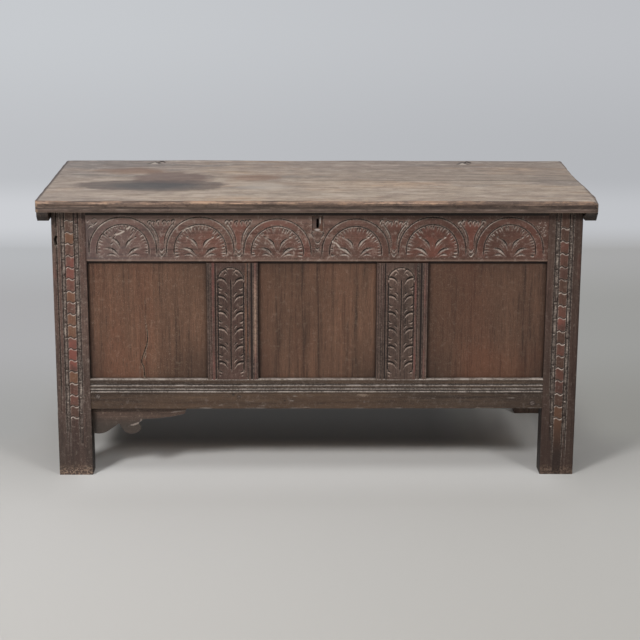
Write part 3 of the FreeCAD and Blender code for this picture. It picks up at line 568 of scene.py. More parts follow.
def waves(x: Array, z: Array, seed: int, lengths: Sequence[Triple]) -> Array:
    """Slow unevenness of hand-planed wood.

    Args:
        x: Places across, in mm.
        z: Places up, in mm.
        seed: Seed of the phases.
        lengths: Wave length across, wave length up and height of each layer, in mm.

    Returns:
        The height at each place, about zero.
    """
    draw = np.random.default_rng(seed)
    total = np.zeros(np.broadcast(x, z).shape)
    for across, up, height in lengths:
        for _ in range(4):
            turn, lean = draw.uniform(0, 2 * math.pi, 2)
            stretch = draw.uniform(0.6, 1.6, 2)
            run = x * stretch[0] / across * math.cos(lean) + z * stretch[1] / up * math.sin(lean)
            total = total + height / 4 * np.sin(2 * math.pi * run + turn)
    return total


def soften(values: Array, reach: int) -> Array:
    """Average a sheet of values over its neighbours.

    Args:
        values: The values, in rows and columns.
        reach: Number of neighbours on each side.

    Returns:
        The softened values.
    """
    kernel = np.ones(2 * reach + 1) / (2 * reach + 1)
    padded = np.pad(values, reach, mode="edge")
    rows = np.apply_along_axis(np.convolve, 1, padded, kernel, "valid")
    return np.apply_along_axis(np.convolve, 0, rows, kernel, "valid")


class Ends(Enum):
    """Where a stroke of the tool runs out."""

    NONE = "none"
    BOTH = "both"
    START = "start"
    END = "end"


class Ground:
    """The face of a board as small cells, into which the tools cut. All sizes are in mm."""

    THINNEST = 0.12
    NARROWEST = 0.35
    SHINE = 2.2

    def __init__(self, left: float, right: float, foot: float, head: float, cell: float) -> None:
        """Lay out the face between its left, right, lower and upper edges."""
        self.x = np.linspace(left, right, max(2, round((right - left) / cell)) + 1)
        self.z = np.linspace(foot, head, max(2, round((head - foot) / cell)) + 1)
        self.wide, self.tall = np.meshgrid(self.x, self.z)
        self.depth, self.form, self.ledge = np.zeros((3, *self.wide.shape))
        self.red, self.ochre, self.grime = np.zeros((3, *self.wide.shape))
        self.shine = np.full_like(self.wide, self.SHINE)
        self.cell = cell

    def stroke(self, points: Path, width: float, depth: float, ends: Ends = Ends.NONE,
               fade: float = 0.35, lean: float = 1.0, hollow: float = 1.0) -> None:
        """Cut one stroke.

        Args:
            points: Points that the stroke runs through.
            width: Its width.
            depth: Its depth.
            ends: Which ends thin out.
            fade: Share of the length over which they thin out.
            lean: Above 1 the upper wall is that much steeper than the lower one, below 1 that much longer.
            hollow: 1 for a V, 2 for a round gouge.
        """
        line = smooth_path(points, self.cell * 0.8)
        share = np.linspace(0, 1, len(line))
        strength = np.ones(len(line))
        if ends in (Ends.BOTH, Ends.START):
            strength = np.minimum(strength, np.clip(share / fade, self.THINNEST, 1))
        if ends in (Ends.BOTH, Ends.END):
            strength = np.minimum(strength, np.clip((1 - share) / fade, self.THINNEST, 1))
        for (px, pz), size in zip(line, strength):
            half = width / 2 * (self.NARROWEST + 0.65 * size)
            first, last = np.searchsorted(self.x, (px - half, px + half))
            low, high = np.searchsorted(self.z, (pz - half, pz + half * max(1.0, 1 / lean)))
            if first >= last or low >= high:
                continue
            dx = self.x[first:last] - px
            dz = self.z[low:high, None] - pz
            dz = np.where(dz > 0, dz * lean, dz)
            reach = np.sqrt(dx ** 2 + dz ** 2) / half
            cut = depth * size * (1 - unit(reach) ** hollow)
            window = self.depth[low:high, first:last]
            np.maximum(window, cut, out=window)

    def pair(self, origin: Point, points: Path, width: float, depth: float, ends: Ends = Ends.BOTH,
             fade: float = 0.35, lean: float = 1.0) -> None:
        """Cut a stroke, given from an origin, and its mirror image about the upright through that."""
        for side in (1, -1):
            path = [(origin[0] + side * x, origin[1] + z) for x, z in points]
            self.stroke(path, width, depth, ends, fade, lean)

    def arch(self, centre: float, radius: float, foot: float, spring: float, rise: float, width: float,
             depth: float, fade: float, lean: float = 1.0) -> None:
        """Cut a round arch.

        Args:
            centre: Its middle across.
            radius: Its radius.
            foot: Where it starts and ends.
            spring: Height of the middle of its round.
            rise: How far below that its straight legs end.
            width: Width of the stroke.
            depth: Depth of the stroke.
            fade: Share of the length over which the feet thin out.
            lean: Slope of the upper wall, as in a stroke.
        """
        round_part = arc((centre, spring), radius, 0, 180)
        path = [(centre + radius, foot), (centre + radius, spring - rise), *round_part,
                (centre - radius, spring - rise), (centre - radius, foot)]
        self.stroke(path, width, depth, Ends.BOTH, fade, lean)

    def within(self, left: float, right: float, foot: float, head: float) -> Array:
        """The cells inside a box."""
        return (self.wide > left) & (self.wide < right) & (self.tall > foot) & (self.tall < head)

    def round_edges(self, sides: float, head: float = 0.0) -> None:
        """Round the two sides and the upper edge over the given widths."""
        for gap, width in ((self.wide - self.x[0], sides), (self.x[-1] - self.wide, sides),
                           (self.z[-1] - self.tall, head)):
            if width:
                self.form += width * 0.6 * unit(1 - gap / width) ** 2

    def block(self, name: str, face: float, back: float, uneven: float = 0.25) -> Piece:
        """Make a closed board whose front is this face.

        Args:
            name: Name of the piece.
            face: Where the uncut face lies in depth.
            back: Where the back lies.
            uneven: Height of the unevenness that planing left.

        Returns:
            The piece, with how far it is cut, faces up and is rubbed stored on its vertices.
        """
        clear_choice()
        columns, rows = len(self.x) - 1, len(self.z) - 1
        bpy.ops.mesh.primitive_grid_add(x_subdivisions=columns, y_subdivisions=rows, size=1.0)
        piece = bpy.context.object
        piece.name = name
        piece.location = (0.0, 0.0, 0.0)
        wave = waves(self.wide, self.tall, seed_of(name), ((90, 420, uneven), (17, 130, uneven * 0.35)))
        cut = np.maximum(self.depth + self.form + wave + uneven, 0.0)
        co = np.stack([self.wide, face + cut, self.tall], -1).reshape(-1, 3) * MM
        piece.data.vertices.foreach_set("co", co.astype(np.float32).ravel())
        piece.data.update()
        slope_up, _ = np.gradient(self.depth, self.z, self.x)
        bulge = np.zeros_like(self.depth)
        bulge[1:-1, 1:-1] = (self.depth[2:, 1:-1] + self.depth[:-2, 1:-1] + self.depth[1:-1, 2:]
                             + self.depth[1:-1, :-2] - 4 * self.depth[1:-1, 1:-1]) / self.cell ** 2
        # Painted light and shade: cells that face up are kept for painted highlights, cells that face down for
        # painted shade.
        lit = unit(slope_up * self.shine)
        for key, values in (("cut", self.depth), ("ledge", np.maximum(self.ledge, lit)),
                            ("shade", unit(slope_up * -1.1)), ("rub", unit(bulge * 0.9)),
                            ("red", soften(self.red, round(2.5 / self.cell))), ("ochre", self.ochre),
                            ("grime", self.grime)):
            number(piece, key, values.ravel())
        with editing("DESELECT", "EDGE"):
            bpy.ops.mesh.select_non_manifold()
            move = {"value": (0.0, (back - face) * MM, 0.0)}
            bpy.ops.mesh.extrude_edges_move(TRANSFORM_OT_translate=move)
            bpy.ops.transform.resize(value=(1.0, 0.0, 1.0), center_override=(0.0, back * MM, 0.0))
            bpy.ops.mesh.edge_face_add()
        bpy.ops.object.shade_smooth_by_angle(angle=math.radians(50))
        return piece


# --------------------------------------------------------------------------- carved front
@dataclass
class CarvedPosts:
    """The front posts: a bead, two notched strips and a band of waved cuts between them. Sizes in mm."""

    outer: float = 590.0
    width: float = 76.0
    head: float = 618.0
    face: float = -253.0
    back: float = -201.0
    run_out: float = 48.0
    first_stops: Span = (583.0, 590.0)
    last_stop: float = 112.0
    pitch: float = 36.5
    dull_below: float = 230.0
    grooves: tuple[float, ...] = (11.0, 20.6, 28.2, 49.6, 58.6)
    band: Span = (30.0, 48.0)
    strips: tuple[Span, ...] = ((21.4, 27.4), (50.4, 57.8))
    wave: tuple[float, ...] = (-0.6, 1.9, 1.2, -1.5, -1.9, 0.2)
    left_waves: Triple = (594.7, 137.8, 26.9)
    right_waves: Triple = (577.3, 134.5, 29.5)
    hues: tuple[str, str] = ("ggoprrpopoorrroppgggg", "ggpprggprgpgprgpoggg")
    paints: dict[str, Span] = field(default_factory=lambda: {
        "r": (1.0, 0.0), "p": (0.55, 0.1), "o": (0.2, 0.62), "g": (0.1, 0.12)})
    cell: float = 1.0

    def place(self, side: int, inset: float) -> float:
        """Place across of a line that lies an inset from the outer edge."""
        return side * (self.outer - inset)

    def wave_cut(self, ground: Ground, side: int, z: float) -> None:
        """Cut one waved stroke across the band."""
        places = np.linspace(*self.band, len(self.wave))[::-side]
        path = sorted((self.place(side, inset), z + level) for inset, level in zip(places, self.wave))
        ground.stroke(path, 2.6, 1.9, lean=0.40)

    def notches(self, ground: Ground, side: int, strip: Span, first: float, draw: Draw) -> None:
        """Scoop a strip from stop to stop, the first one at the given height."""
        left, right = sorted(self.place(side, inset) for inset in strip)
        across = (ground.x > left) & (ground.x < right)
        middle, half = (left + right) / 2, (right - left) / 2
        inside = (ground.x[across] - middle) / half
        stop = first
        while stop > self.last_stop:
            lit = min(1.0, stop / self.dull_below) ** 2 * draw.uniform(0.5, 1.6)
            aside = draw.uniform(-0.35, 0.35)
            end = stop - self.pitch * draw.uniform(0.93, 1.07)
            foot, head = (height - 3.0 * (1 - inside ** 2) for height in (end, stop))
            share = unit((head - ground.z[:, None]) / (stop - end))
            rows = (ground.z[:, None] <= head) & (ground.z[:, None] > foot)
            lens = unit(np.sin(math.pi * unit(share * 1.15 - 0.12))) ** 0.6
            # Each scoop is painted dark, as painted shade in the hollow, with a lens of painted highlight on its
            # lower part.
            for sheet, values in ((ground.form, 2.2 * (1 - share ** 3) * (1 - 0.25 * inside ** 2) + 0.25),
                                  (ground.depth, 1.7 * unit(1 - share / 0.09)),
                                  (ground.grime, 0.55),
                                  (ground.ledge, lit * unit(0.85 * lens - np.abs(inside + aside)))):
                window = sheet[:, across]
                sheet[:, across] = np.where(rows, np.maximum(window, values), window)
            stop = end

    def ground(self, side: int) -> Ground:
        """Carve one post's face.

        Args:
            side: -1 for the left post, 1 for the right one.

        Returns:
            The face.
        """
        draw = np.random.default_rng(SEED + 5 + side)
        left, right = sorted((side * self.outer, side * (self.outer - self.width)))
        ground = Ground(left, right, 0.0, self.head, self.cell)
        for inset in self.grooves if side < 0 else self.grooves[1:]:
            x = self.place(side, inset)
            foot = (self.run_out if side < 0 else 12.0) if 15 < inset < 55 else 150.0
            ground.stroke([(x, self.head + 4), (x, foot)], 3.8, 2.4, Ends.END, fade=0.12)
        for strip, first in zip(self.strips, self.first_stops):
            self.notches(ground, side, strip, first + (4 if side > 0 else 0), draw)
        top, last, pitch = self.left_waves if side < 0 else self.right_waves
        count = round((top - last) / pitch)
        levels = [top - step * (top - last) / count + draw.uniform(-1.2, 1.2) for step in range(count + 1)]
        for z in levels:
            self.wave_cut(ground, side, z)
        low, high = sorted(self.place(side, inset) for inset in self.band)
        inside = (ground.x > low - 1) & (ground.x < high + 1)
        for head, foot, kind in zip([self.head, *levels], levels, self.hues[0 if side < 0 else 1]):
            rows = (ground.z <= head) & (ground.z > foot)
            cells = np.ix_(rows, inside)
            red, ochre = self.paints[kind]
            ground.red[cells] = red * draw.uniform(0.8, 1.0) * (0.75 if side < 0 else 0.62)
            ground.ochre[cells] = ochre * draw.uniform(0.8, 1.0)
            aside = np.abs(ground.z[rows, None] - (head + foot) / 2) / ((head - foot) / 2)
            ground.form[cells] += 0.8 * (1 - unit(1 - aside) ** 0.5)
        if side > 0:
            below = ground.z <= levels[-2]
            cells = np.ix_(below, inside)
            fade = unit(1 - (levels[-1] - ground.z[below]) / 85)[:, None]
            for sheet, values in ((ground.red, 0.0), (ground.ochre, 0.5 * fade),
                                  (ground.grime, 0.55 - 0.35 * fade)):
                sheet[cells] = values
        bead = np.abs(ground.wide - side * self.outer)
        ground.form += np.where((bead < 10.5) & (ground.tall > 150),
                                (2.2 if side < 0 else 0.8) * (np.abs(bead - 5.2) / 5.3) ** 2.5, 0.0)
        ground.red[(bead < 10) & (ground.tall > 462) & (ground.tall < 520)] += 0.2 if side < 0 else 0.1
        if side < 0:
            notch = [(self.place(side, inset), z) for inset, z in ((9.6, 539), (8.2, 548), (9.8, 557))]
            ground.stroke(notch, 6.4, 8.0, hollow=5.0)
        ground.form += 1.2 * unit(1 - ground.tall / 9.0) ** 2
        ground.round_edges(2.0)
        return ground

    def build(self, finish: Material) -> None:
        """Make both posts."""
        for side, name in ((-1, "post_front_left"), (1, "post_front_right")):
            piece = self.ground(side).block("carved_" + name, self.face, self.back, uneven=0.18)
            dress(piece, finish, "carcase", [name])


@dataclass
class LunetteRail:
    """The top rail: six lunettes of leaves, flowers between them and the lock's keyhole. Sizes in mm."""

    half: float = 514.0
    foot: float = 498.0
    head: float = 618.0
    face: float = -251.5
    back: float = -223.5
    centres: tuple[float, ...] = (-432.5, -260.9, -89.4, 84.9, 255.9, 428.7)
    base: float = 512.0
    outer_radius: float = 75.0
    inner_radius: float = 58.0
    nicks: int = 28
    spring: float = 527.0
    sag: tuple[float, ...] = (0.0, 0.0, 4.0, 4.0, 0.0, 0.0)
    plate: tuple[float, float, float, float] = (-11.8, 11.8, 570.3, 605.7)
    slot: tuple[float, float, float, float] = (-2.6, 2.6, 577.0, 600.5)
    chamfer: float = 5.0
    punches: int = 34
    scratches: tuple[tuple[float, ...], ...] = (
        (-12, 576, 4, 571), (-20, 561, -12, 570), (-26, 549, -14, 562), (14, 555, 26, 572),
        (-30, 538, -20, 546))
    # Paths of painted highlights: short bright strokes on the rail.
    bare: tuple[Path, ...] = (
        ((-446, 562.5), (-439, 565.0), (-430, 570.0)), ((-423, 576.0), (-416, 579.0)),
        ((33, 547.0), (41, 543.0), (49, 534.5)), ((-300, 571.0), (-291, 576.5), (-280, 578.5)))
    sprig: tuple[Path, ...] = (
        ((-505, 596), (-497, 586), (-490, 590), (-484, 596)), ((-510, 575), (-503, 583), (-497, 579)),
        ((-502, 594), (-494, 600), (-486, 594)), ((-511, 590), (-507, 596)),
        ((-508, 566), (-508, 530), (-507, 516)))
    cell: float = 1.2

    def lunette(self, ground: Ground, centre: float, low: float, draw: Draw) -> None:
        """Cut one lunette.

        Args:
            ground: The rail's face.
            centre: Its middle.
            low: How much lower it is than its neighbours.
            draw: Source of its unevenness.
        """
        spring = self.spring - low
        for radius, width in ((self.outer_radius, 3.6), (self.inner_radius, 3.8)):
            ground.arch(centre, radius, self.base - 2, spring, 6.0, width, 2.5, fade=0.05, lean=0.9)
        around = np.hypot(ground.wide - centre, np.maximum(ground.tall - spring, 0))
        rims = np.minimum(np.abs(around - self.outer_radius), np.abs(around - self.inner_radius)) < 3.0
        ground.shine[rims] = 0.5 if centre > 0 else 1.2
        for turn in np.linspace(-14, 194, self.nicks):
            angle = math.radians(turn + draw.uniform(-2.2, 2.2))
            start, end = (self.inner_radius - draw.uniform(*gaps) for gaps in ((2.6, 4.6), (9.0, 15.0)))
            path = [(centre + reach * math.cos(angle), spring + reach * math.sin(angle) - drop)
                    for reach, drop in ((start, 0.0), (end, 0.8))]
            if min(path[0][1], path[1][1]) > self.base + 1:
                ground.stroke(path, draw.uniform(2.8, 5.2), draw.uniform(1.4, 3.0), Ends.END, fade=0.9,
                              lean=draw.uniform(0.6, 1.5))
        foot = (centre, self.base - 1)
        for points, width, depth in (([(4.5, 18), (9, 31), (17, 40), (28, 45)], 7.4, 3.0),
                                     ([(8, 3), (20, 16), (31, 21), (43, 21)], 8.4, 3.2),
                                     ([(12, 2), (25, 8), (38, 4)], 6.2, 2.2)):
            ground.pair(foot, points, width, depth, fade=0.45, lean=1.5)
        ground.pair(foot, [(27, 46), (28.5, 46.5)], 4.4, 3.0, Ends.NONE)
        ground.pair(foot, [(9, 19), (16, 30), (25, 37)], 2.6, 0.9)
        ground.stroke([(centre, foot[1] + 42), (centre, foot[1] + 22)], 3.0, 0.8, Ends.BOTH)
        inside = (around < self.inner_radius - 3) & (ground.tall > self.base)
        ground.red[inside] = draw.uniform(0.1, 0.6) * (0.3 if centre < -400 else 0.8)
        ring = (around < self.outer_radius) & ~inside & (ground.tall > self.base)
        ground.red[ring] = draw.uniform(0.1, 0.5) * (0.5 if centre > 200 else 1.0)
        if centre < -400:
            for left, foot, right, head in self.scratches:
                ground.stroke([(centre + left, foot), (centre + right, head)], 5.0, 1.5, Ends.BOTH)

    def flower(self, ground: Ground, centre: float, draw: Draw) -> None:
        """Cut the flower between two lunettes."""
        for step in range(6):
            x = centre - 27 + step * 10.8 + draw.uniform(-1.8, 1.8)
            up, turn = draw.uniform(-1.5, 2.5), draw.uniform(-1.6, 1.6)
            path = [(x - 4.6, 584.5), (x - 3.0 + turn, 592 + up), (x + 2.0 + turn, 593.5 + up),
                    (x + 4.2, 586.5 + up)]
            ground.stroke(path, 4.6, 3.0, Ends.BOTH, lean=draw.uniform(0.7, 1.8))
            ground.stroke([(x, 590), (x + 0.5, 581)], 3.4, 2.0, Ends.END)
        ground.pair((centre, 0), [(25, 587), (15, 573), (8, 556), (5.5, 528)], 4.2, 2.0, Ends.END, lean=1.1)
        ground.pair((centre, 0), [(28, 581), (19, 571), (12.5, 557), (10, 545)], 2.8, 0.9)
        for z in (529, 519):
            path = [(centre + x, z + up) for x, up in ((-10, 3.5), (-4, 1), (0, -4.5), (4, 1), (10, 3.5))]
            ground.stroke(path, 4.0, 1.9, Ends.BOTH, lean=1.6)
        near = np.abs(ground.wide - centre) < 5 + np.clip(ground.tall - 545, 0, 40) * 0.4
        ground.red[near & (ground.tall > 525) & (ground.tall < 592)] = 0.4

    def tulip(self, ground: Ground) -> None:
        """Cut the short tulip under the keyhole."""
        ground.pair((0, 0), [(3, 553), (9, 557), (13, 566), (8, 569), (5, 564)], 4.4, 2.1, lean=1.6)
        for z, half in ((548, 9), (534, 6)):
            ground.stroke([(-half, z + 6), (0, z - 4), (half, z + 6)], 4.8, 2.4, Ends.BOTH, lean=2.0)
        ground.pair((0, 0), [(5, 545), (4, 530), (3.5, 515)], 2.6, 1.0)

    def painted_highlights(self, ground: Ground) -> None:
        """Lay a few short painted highlights on the rail."""
        for points in self.bare:
            for x, z in smooth_path(points, 1.0):
                near = np.hypot(ground.wide - x, ground.tall - z)
                ground.ledge = np.maximum(ground.ledge, 3.0 * unit(1.6 - near / 1.3))

    def corner_sprigs(self, ground: Ground, draw: Draw) -> None:
        """Cut half a flower in the left corner and a small punched patch in the right one."""
        for path in self.sprig:
            ground.stroke(path, 4.2, 1.9, Ends.BOTH, lean=1.6)
        for _ in range(self.punches):
            x, z = draw.uniform(484, 509), draw.uniform(560, 592)
            ground.stroke([(x, z), (x + 0.8, z)], 2.8, 1.2)

    def keyhole(self, ground: Ground) -> None:
        """Sink the bed of the keyhole plate and the way of the key."""
        ground.depth[ground.within(*self.plate)] = 2.6
        ground.depth[ground.within(*self.slot)] = 20.0

    def build(self, finish: Material) -> None:
        """Make the rail."""
        draw = np.random.default_rng(SEED + 11)
        ground = Ground(-self.half, self.half, self.foot, self.head, self.cell)
        for centre, low in zip(self.centres, self.sag):
            self.lunette(ground, centre, low, draw)
        for left, right in zip(self.centres, self.centres[1:]):
            if left * right > 0:
                self.flower(ground, (left + right) / 2, draw)
        self.tulip(ground)
        self.painted_highlights(ground)
        self.corner_sprigs(ground, draw)
        ground.form += np.clip(self.foot + self.chamfer - ground.tall, 0, self.chamfer)
        ground.round_edges(0.6, head=1.0)
        self.keyhole(ground)
        piece = ground.block("carved_top_rail", self.face, self.back, uneven=0.2)
        dress(piece, finish, "carcase", ["front_top_rail"])


@dataclass
class LeafMuntins:
    """The two muntins of the front, each with a round-headed strip of leaves. Sizes in mm."""

    inner: float = 133.0
    outer: float = 248.0
    foot: float = 229.0
    head: float = 498.0
    back: float = -223.5
    strip_half: float = 28.5
    strip_foot: float = 240.0
    strip_head: float = 487.0
    tips: tuple[float, ...] = (462.0, 422.0, 383.0, 345.0, 305.5, 267.0)
    cell: float = 1.0

    def leaves(self, ground: Ground, centre: float, draw: Draw) -> None:
        """Cut the stem, the pairs of leaves and the curled tips in the head."""
        stem = [(centre, 464), (centre + 0.6, 400), (centre - 0.4, 320), (centre, 243)]
        ground.stroke(stem, 4.2, 2.0, Ends.BOTH, fade=0.04)
        for z in self.tips:
            tip = (centre, z + draw.uniform(-1.2, 1.2))
            ground.pair(tip, [(26.5, 0.5), (20, 0), (12.5, -4.5), (6, -15)], 3.6, 2.9, Ends.END, 0.5, 0.30)
            if z < 460:
                ground.pair(tip, [(15.5, 9), (10, 6.5), (5.5, -1)], 3.2, 2.2, Ends.BOTH, 0.5, 0.36)
            ground.pair(tip, [(26.5, -20.5), (21.5, -23), (17.5, -21.5)], 3.2, 2.2, Ends.END, 0.7, 0.36)
            ground.pair(tip, [(26, -29), (21, -30)], 2.8, 1.2, Ends.END, 0.7, 0.5)
        ground.pair((centre, 0), [(21.5, 472), (17.5, 480), (10.5, 482), (5, 473)], 3.4, 2.6, lean=0.4)
        ground.pair((centre, 0), [(16, 468), (12.5, 474), (9, 472)], 3.0, 1.8, lean=0.5)

    def mouldings(self, ground: Ground, low: float, high: float, left: bool) -> None:
        """Run the mouldings down both edges of the muntin."""
        for x, width, depth in ((high - 23.5, 3.4, 2.0), (high - 14.5, 7.0, 1.6), (high - 9.6, 2.4, 1.5),
                                (high - 3.6, 2.4, 1.2), (low + 19.5, 4.6, 2.0), (low + 10.5, 2.6, 1.6),
                                (low + 4.4, 2.6, 1.4)):
            ground.stroke([(x, self.foot - 4), (x, self.head + 4)], width, depth)
        start = low + 11.5 if left else high - 31
        for first, last, red in ((start, start + 6, 0.45), (high - 9, high - 4, 0.4)):
            ground.red[:, (ground.x > first) & (ground.x < last)] = red

    def build(self, finish: Material) -> None:
        """Make both muntins."""
        for side, name in ((-1, "front_muntin_left"), (1, "front_muntin_right")):
            draw = np.random.default_rng(SEED + 21 + side)
            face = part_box(name)[0][1] / MM
            low, high = sorted((side * self.inner, side * self.outer))
            ground = Ground(low, high, self.foot - 1.5, self.head, self.cell)
            centre = -194.0 if side < 0 else 188.0
            spring = self.strip_head - self.strip_half
            ground.arch(centre, self.strip_half, self.strip_foot, spring, 8.0, 4.4, 2.4, fade=0.02)
            self.leaves(ground, centre, draw)
            self.mouldings(ground, low, high, side < 0)
            ground.round_edges(1.4)
            piece = ground.block("carved_" + name, face, self.back, uneven=0.18)
            dress(piece, finish, "carcase", [name])


@dataclass
class MouldedRail:
    """The bottom rail: run mouldings above and a plain band below. Sizes in mm."""

    half: float = 514.0
    foot: float = 158.0
    head: float = 229.0
    back: float = -223.5
    lines: tuple[Triple, ...] = ((215.2, 5.0, 2.8), (206.4, 3.4, 1.8), (200.4, 4.4, 2.8))
    band: float = 196.0
    step: float = 1.5
    dents: int = 12
    cell: float = 1.1

    def build(self, finish: Material) -> None:
        """Make the rail."""
        draw = np.random.default_rng(SEED + 31)
        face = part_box("front_bottom_rail")[0][1] / MM
        ground = Ground(-self.half, self.half, self.foot, self.head, self.cell)
        wander = waves(ground.x, np.zeros(1), SEED + 32, ((260, 1, 0.25),))
        for z, width, depth in self.lines:
            reach = unit(np.abs(ground.tall - z - wander) / (width / 2))
            ground.depth = np.maximum(ground.depth, depth * (1 - reach))
        ground.form[ground.tall < self.band] += self.step
        for _ in range(self.dents):
            x, z = draw.uniform(-500, 500), draw.uniform(162, 192)
            ground.stroke([(x, z), (x + draw.uniform(6, 26), z + draw.uniform(-1.5, 1.5))], 2.6,
                          draw.uniform(0.3, 0.9), Ends.BOTH)
        chips = np.clip(waves(ground.x, np.zeros(1), SEED + 33, ((90, 1, 1.0), (23, 1, 0.7))), 0, 2)
        for gap, width, size in ((ground.tall - self.foot, 1.5 + chips * 2.2, 0.8 + chips),
                                 (self.head - ground.tall, 2.2, 0.9 + 0.6 * chips)):
            ground.form += unit(1 - gap / width) ** 2 * size
        # Painted highlight along the upper edge; below it, pale chipped wear along the lower edge.
        ground.ledge[ground.tall > self.head - 3.0] = 1.4
        low_edge = (ground.tall < self.foot + 2.6) & (ground.wide > -310)
        ground.ledge += np.where(low_edge, unit(chips - 0.1), 0)
        piece = ground.block("moulded_bottom_rail", face, self.back, uneven=0.15)
        dress(piece, finish, "carcase", ["front_bottom_rail"])


@dataclass
class FrontPanels:
    """The three plain panels of the front; the left one has a crack. Sizes in mm."""

    foot: float = 221.0
    head: float = 506.0
    face: float = -242.5
    back: float = -231.5
    spans: dict[str, Span] = field(default_factory=lambda: {
        "front_panel_left": (-522.0, -240.0), "front_panel_middle": (-141.0, 141.0),
        "front_panel_right": (240.0, 522.0)})
    crack: Path = (
        (-390, 383), (-385, 350), (-383, 331), (-385, 307), (-397, 270), (-393, 254), (-391, 231))
    in_groove: float = 8.0
    fine_cell: float = 1.1
    coarse_cell: float = 2.4

    def build(self, finish: Material) -> None:
        """Make the panels."""
        for name, (left, right) in self.spans.items():
            cracked = name.endswith("left")
            cell = self.fine_cell if cracked else self.coarse_cell
            ground = Ground(left, right, self.foot, self.head, cell)
            if cracked:
                ground.stroke(self.crack, 2.4, 5.0, Ends.START, fade=0.5)
                ground.stroke([(-391, 300), (-388, 286), (-391, 270)], 2.2, 2.0, Ends.BOTH)
                ground.stroke([(-398, 262), (-402, 240), (-401, 228)], 2.2, 1.2, Ends.BOTH)
            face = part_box(name)[0][1] / MM
            gaps = (ground.wide - left, self.head - ground.tall, right - ground.wide, ground.tall - self.foot)
            # Painted shadow along the panel's edges where the frame shades it, darkest at the left and top.
            for gap, dark in zip(gaps, (1.3, 1.5, 0.8, 0.5)):
                gap = np.clip(gap - self.in_groove, 0, None)
                ground.grime += dark * np.exp(-gap / 1.9) + 0.16 * np.exp(-gap / 16.0)
            ground.form[np.min(gaps, 0) < self.in_groove - 1] += 0.6
            piece = ground.block("riven_" + name, face, self.back, uneven=0.35)
            dress(piece, finish, "carcase", [name])


# --------------------------------------------------------------------------- plain timbers
@dataclass
class PlainTimbers:
    """The uncarved timbers: each is its node with worn arrises, whose width in mm ends each row."""

    rows: tuple[tuple[tuple[str, ...], str, str, float], ...] = (
        (("back_top_rail", "back_bottom_rail"), "frame along", "frame_oak", 1.4),
        (("scroll_bracket",), "bracket", "frame_oak", 1.4),
        (("left_end_top_rail", "left_end_bottom_rail", "right_end_top_rail", "right_end_bottom_rail"),
         "frame deep", "frame_oak", 1.4),
        (("post_back_left", "post_back_right", "back_muntin_left", "back_muntin_right", "left_end_muntin",
          "right_end_muntin"), "frame up", "frame_oak", 1.4),
        (("back_panel_left", "back_panel_middle", "back_panel_right", "left_end_panel_front",
          "left_end_panel_back", "right_end_panel_front", "right_end_panel_back"), "panel", "panel_oak", 0.8),
        (tuple(f"floor_board_{count}" for count in range(1, 6)), "floor", "floor_oak", 0.8))

    def build(self, finishes: dict[str, Material]) -> None:
        """Make every timber."""
        for names, finish, slot, arris in self.rows:
            for name in names:
                dress(copy_of(name, "worn_" + name, arris), finishes[finish], "carcase", [name])


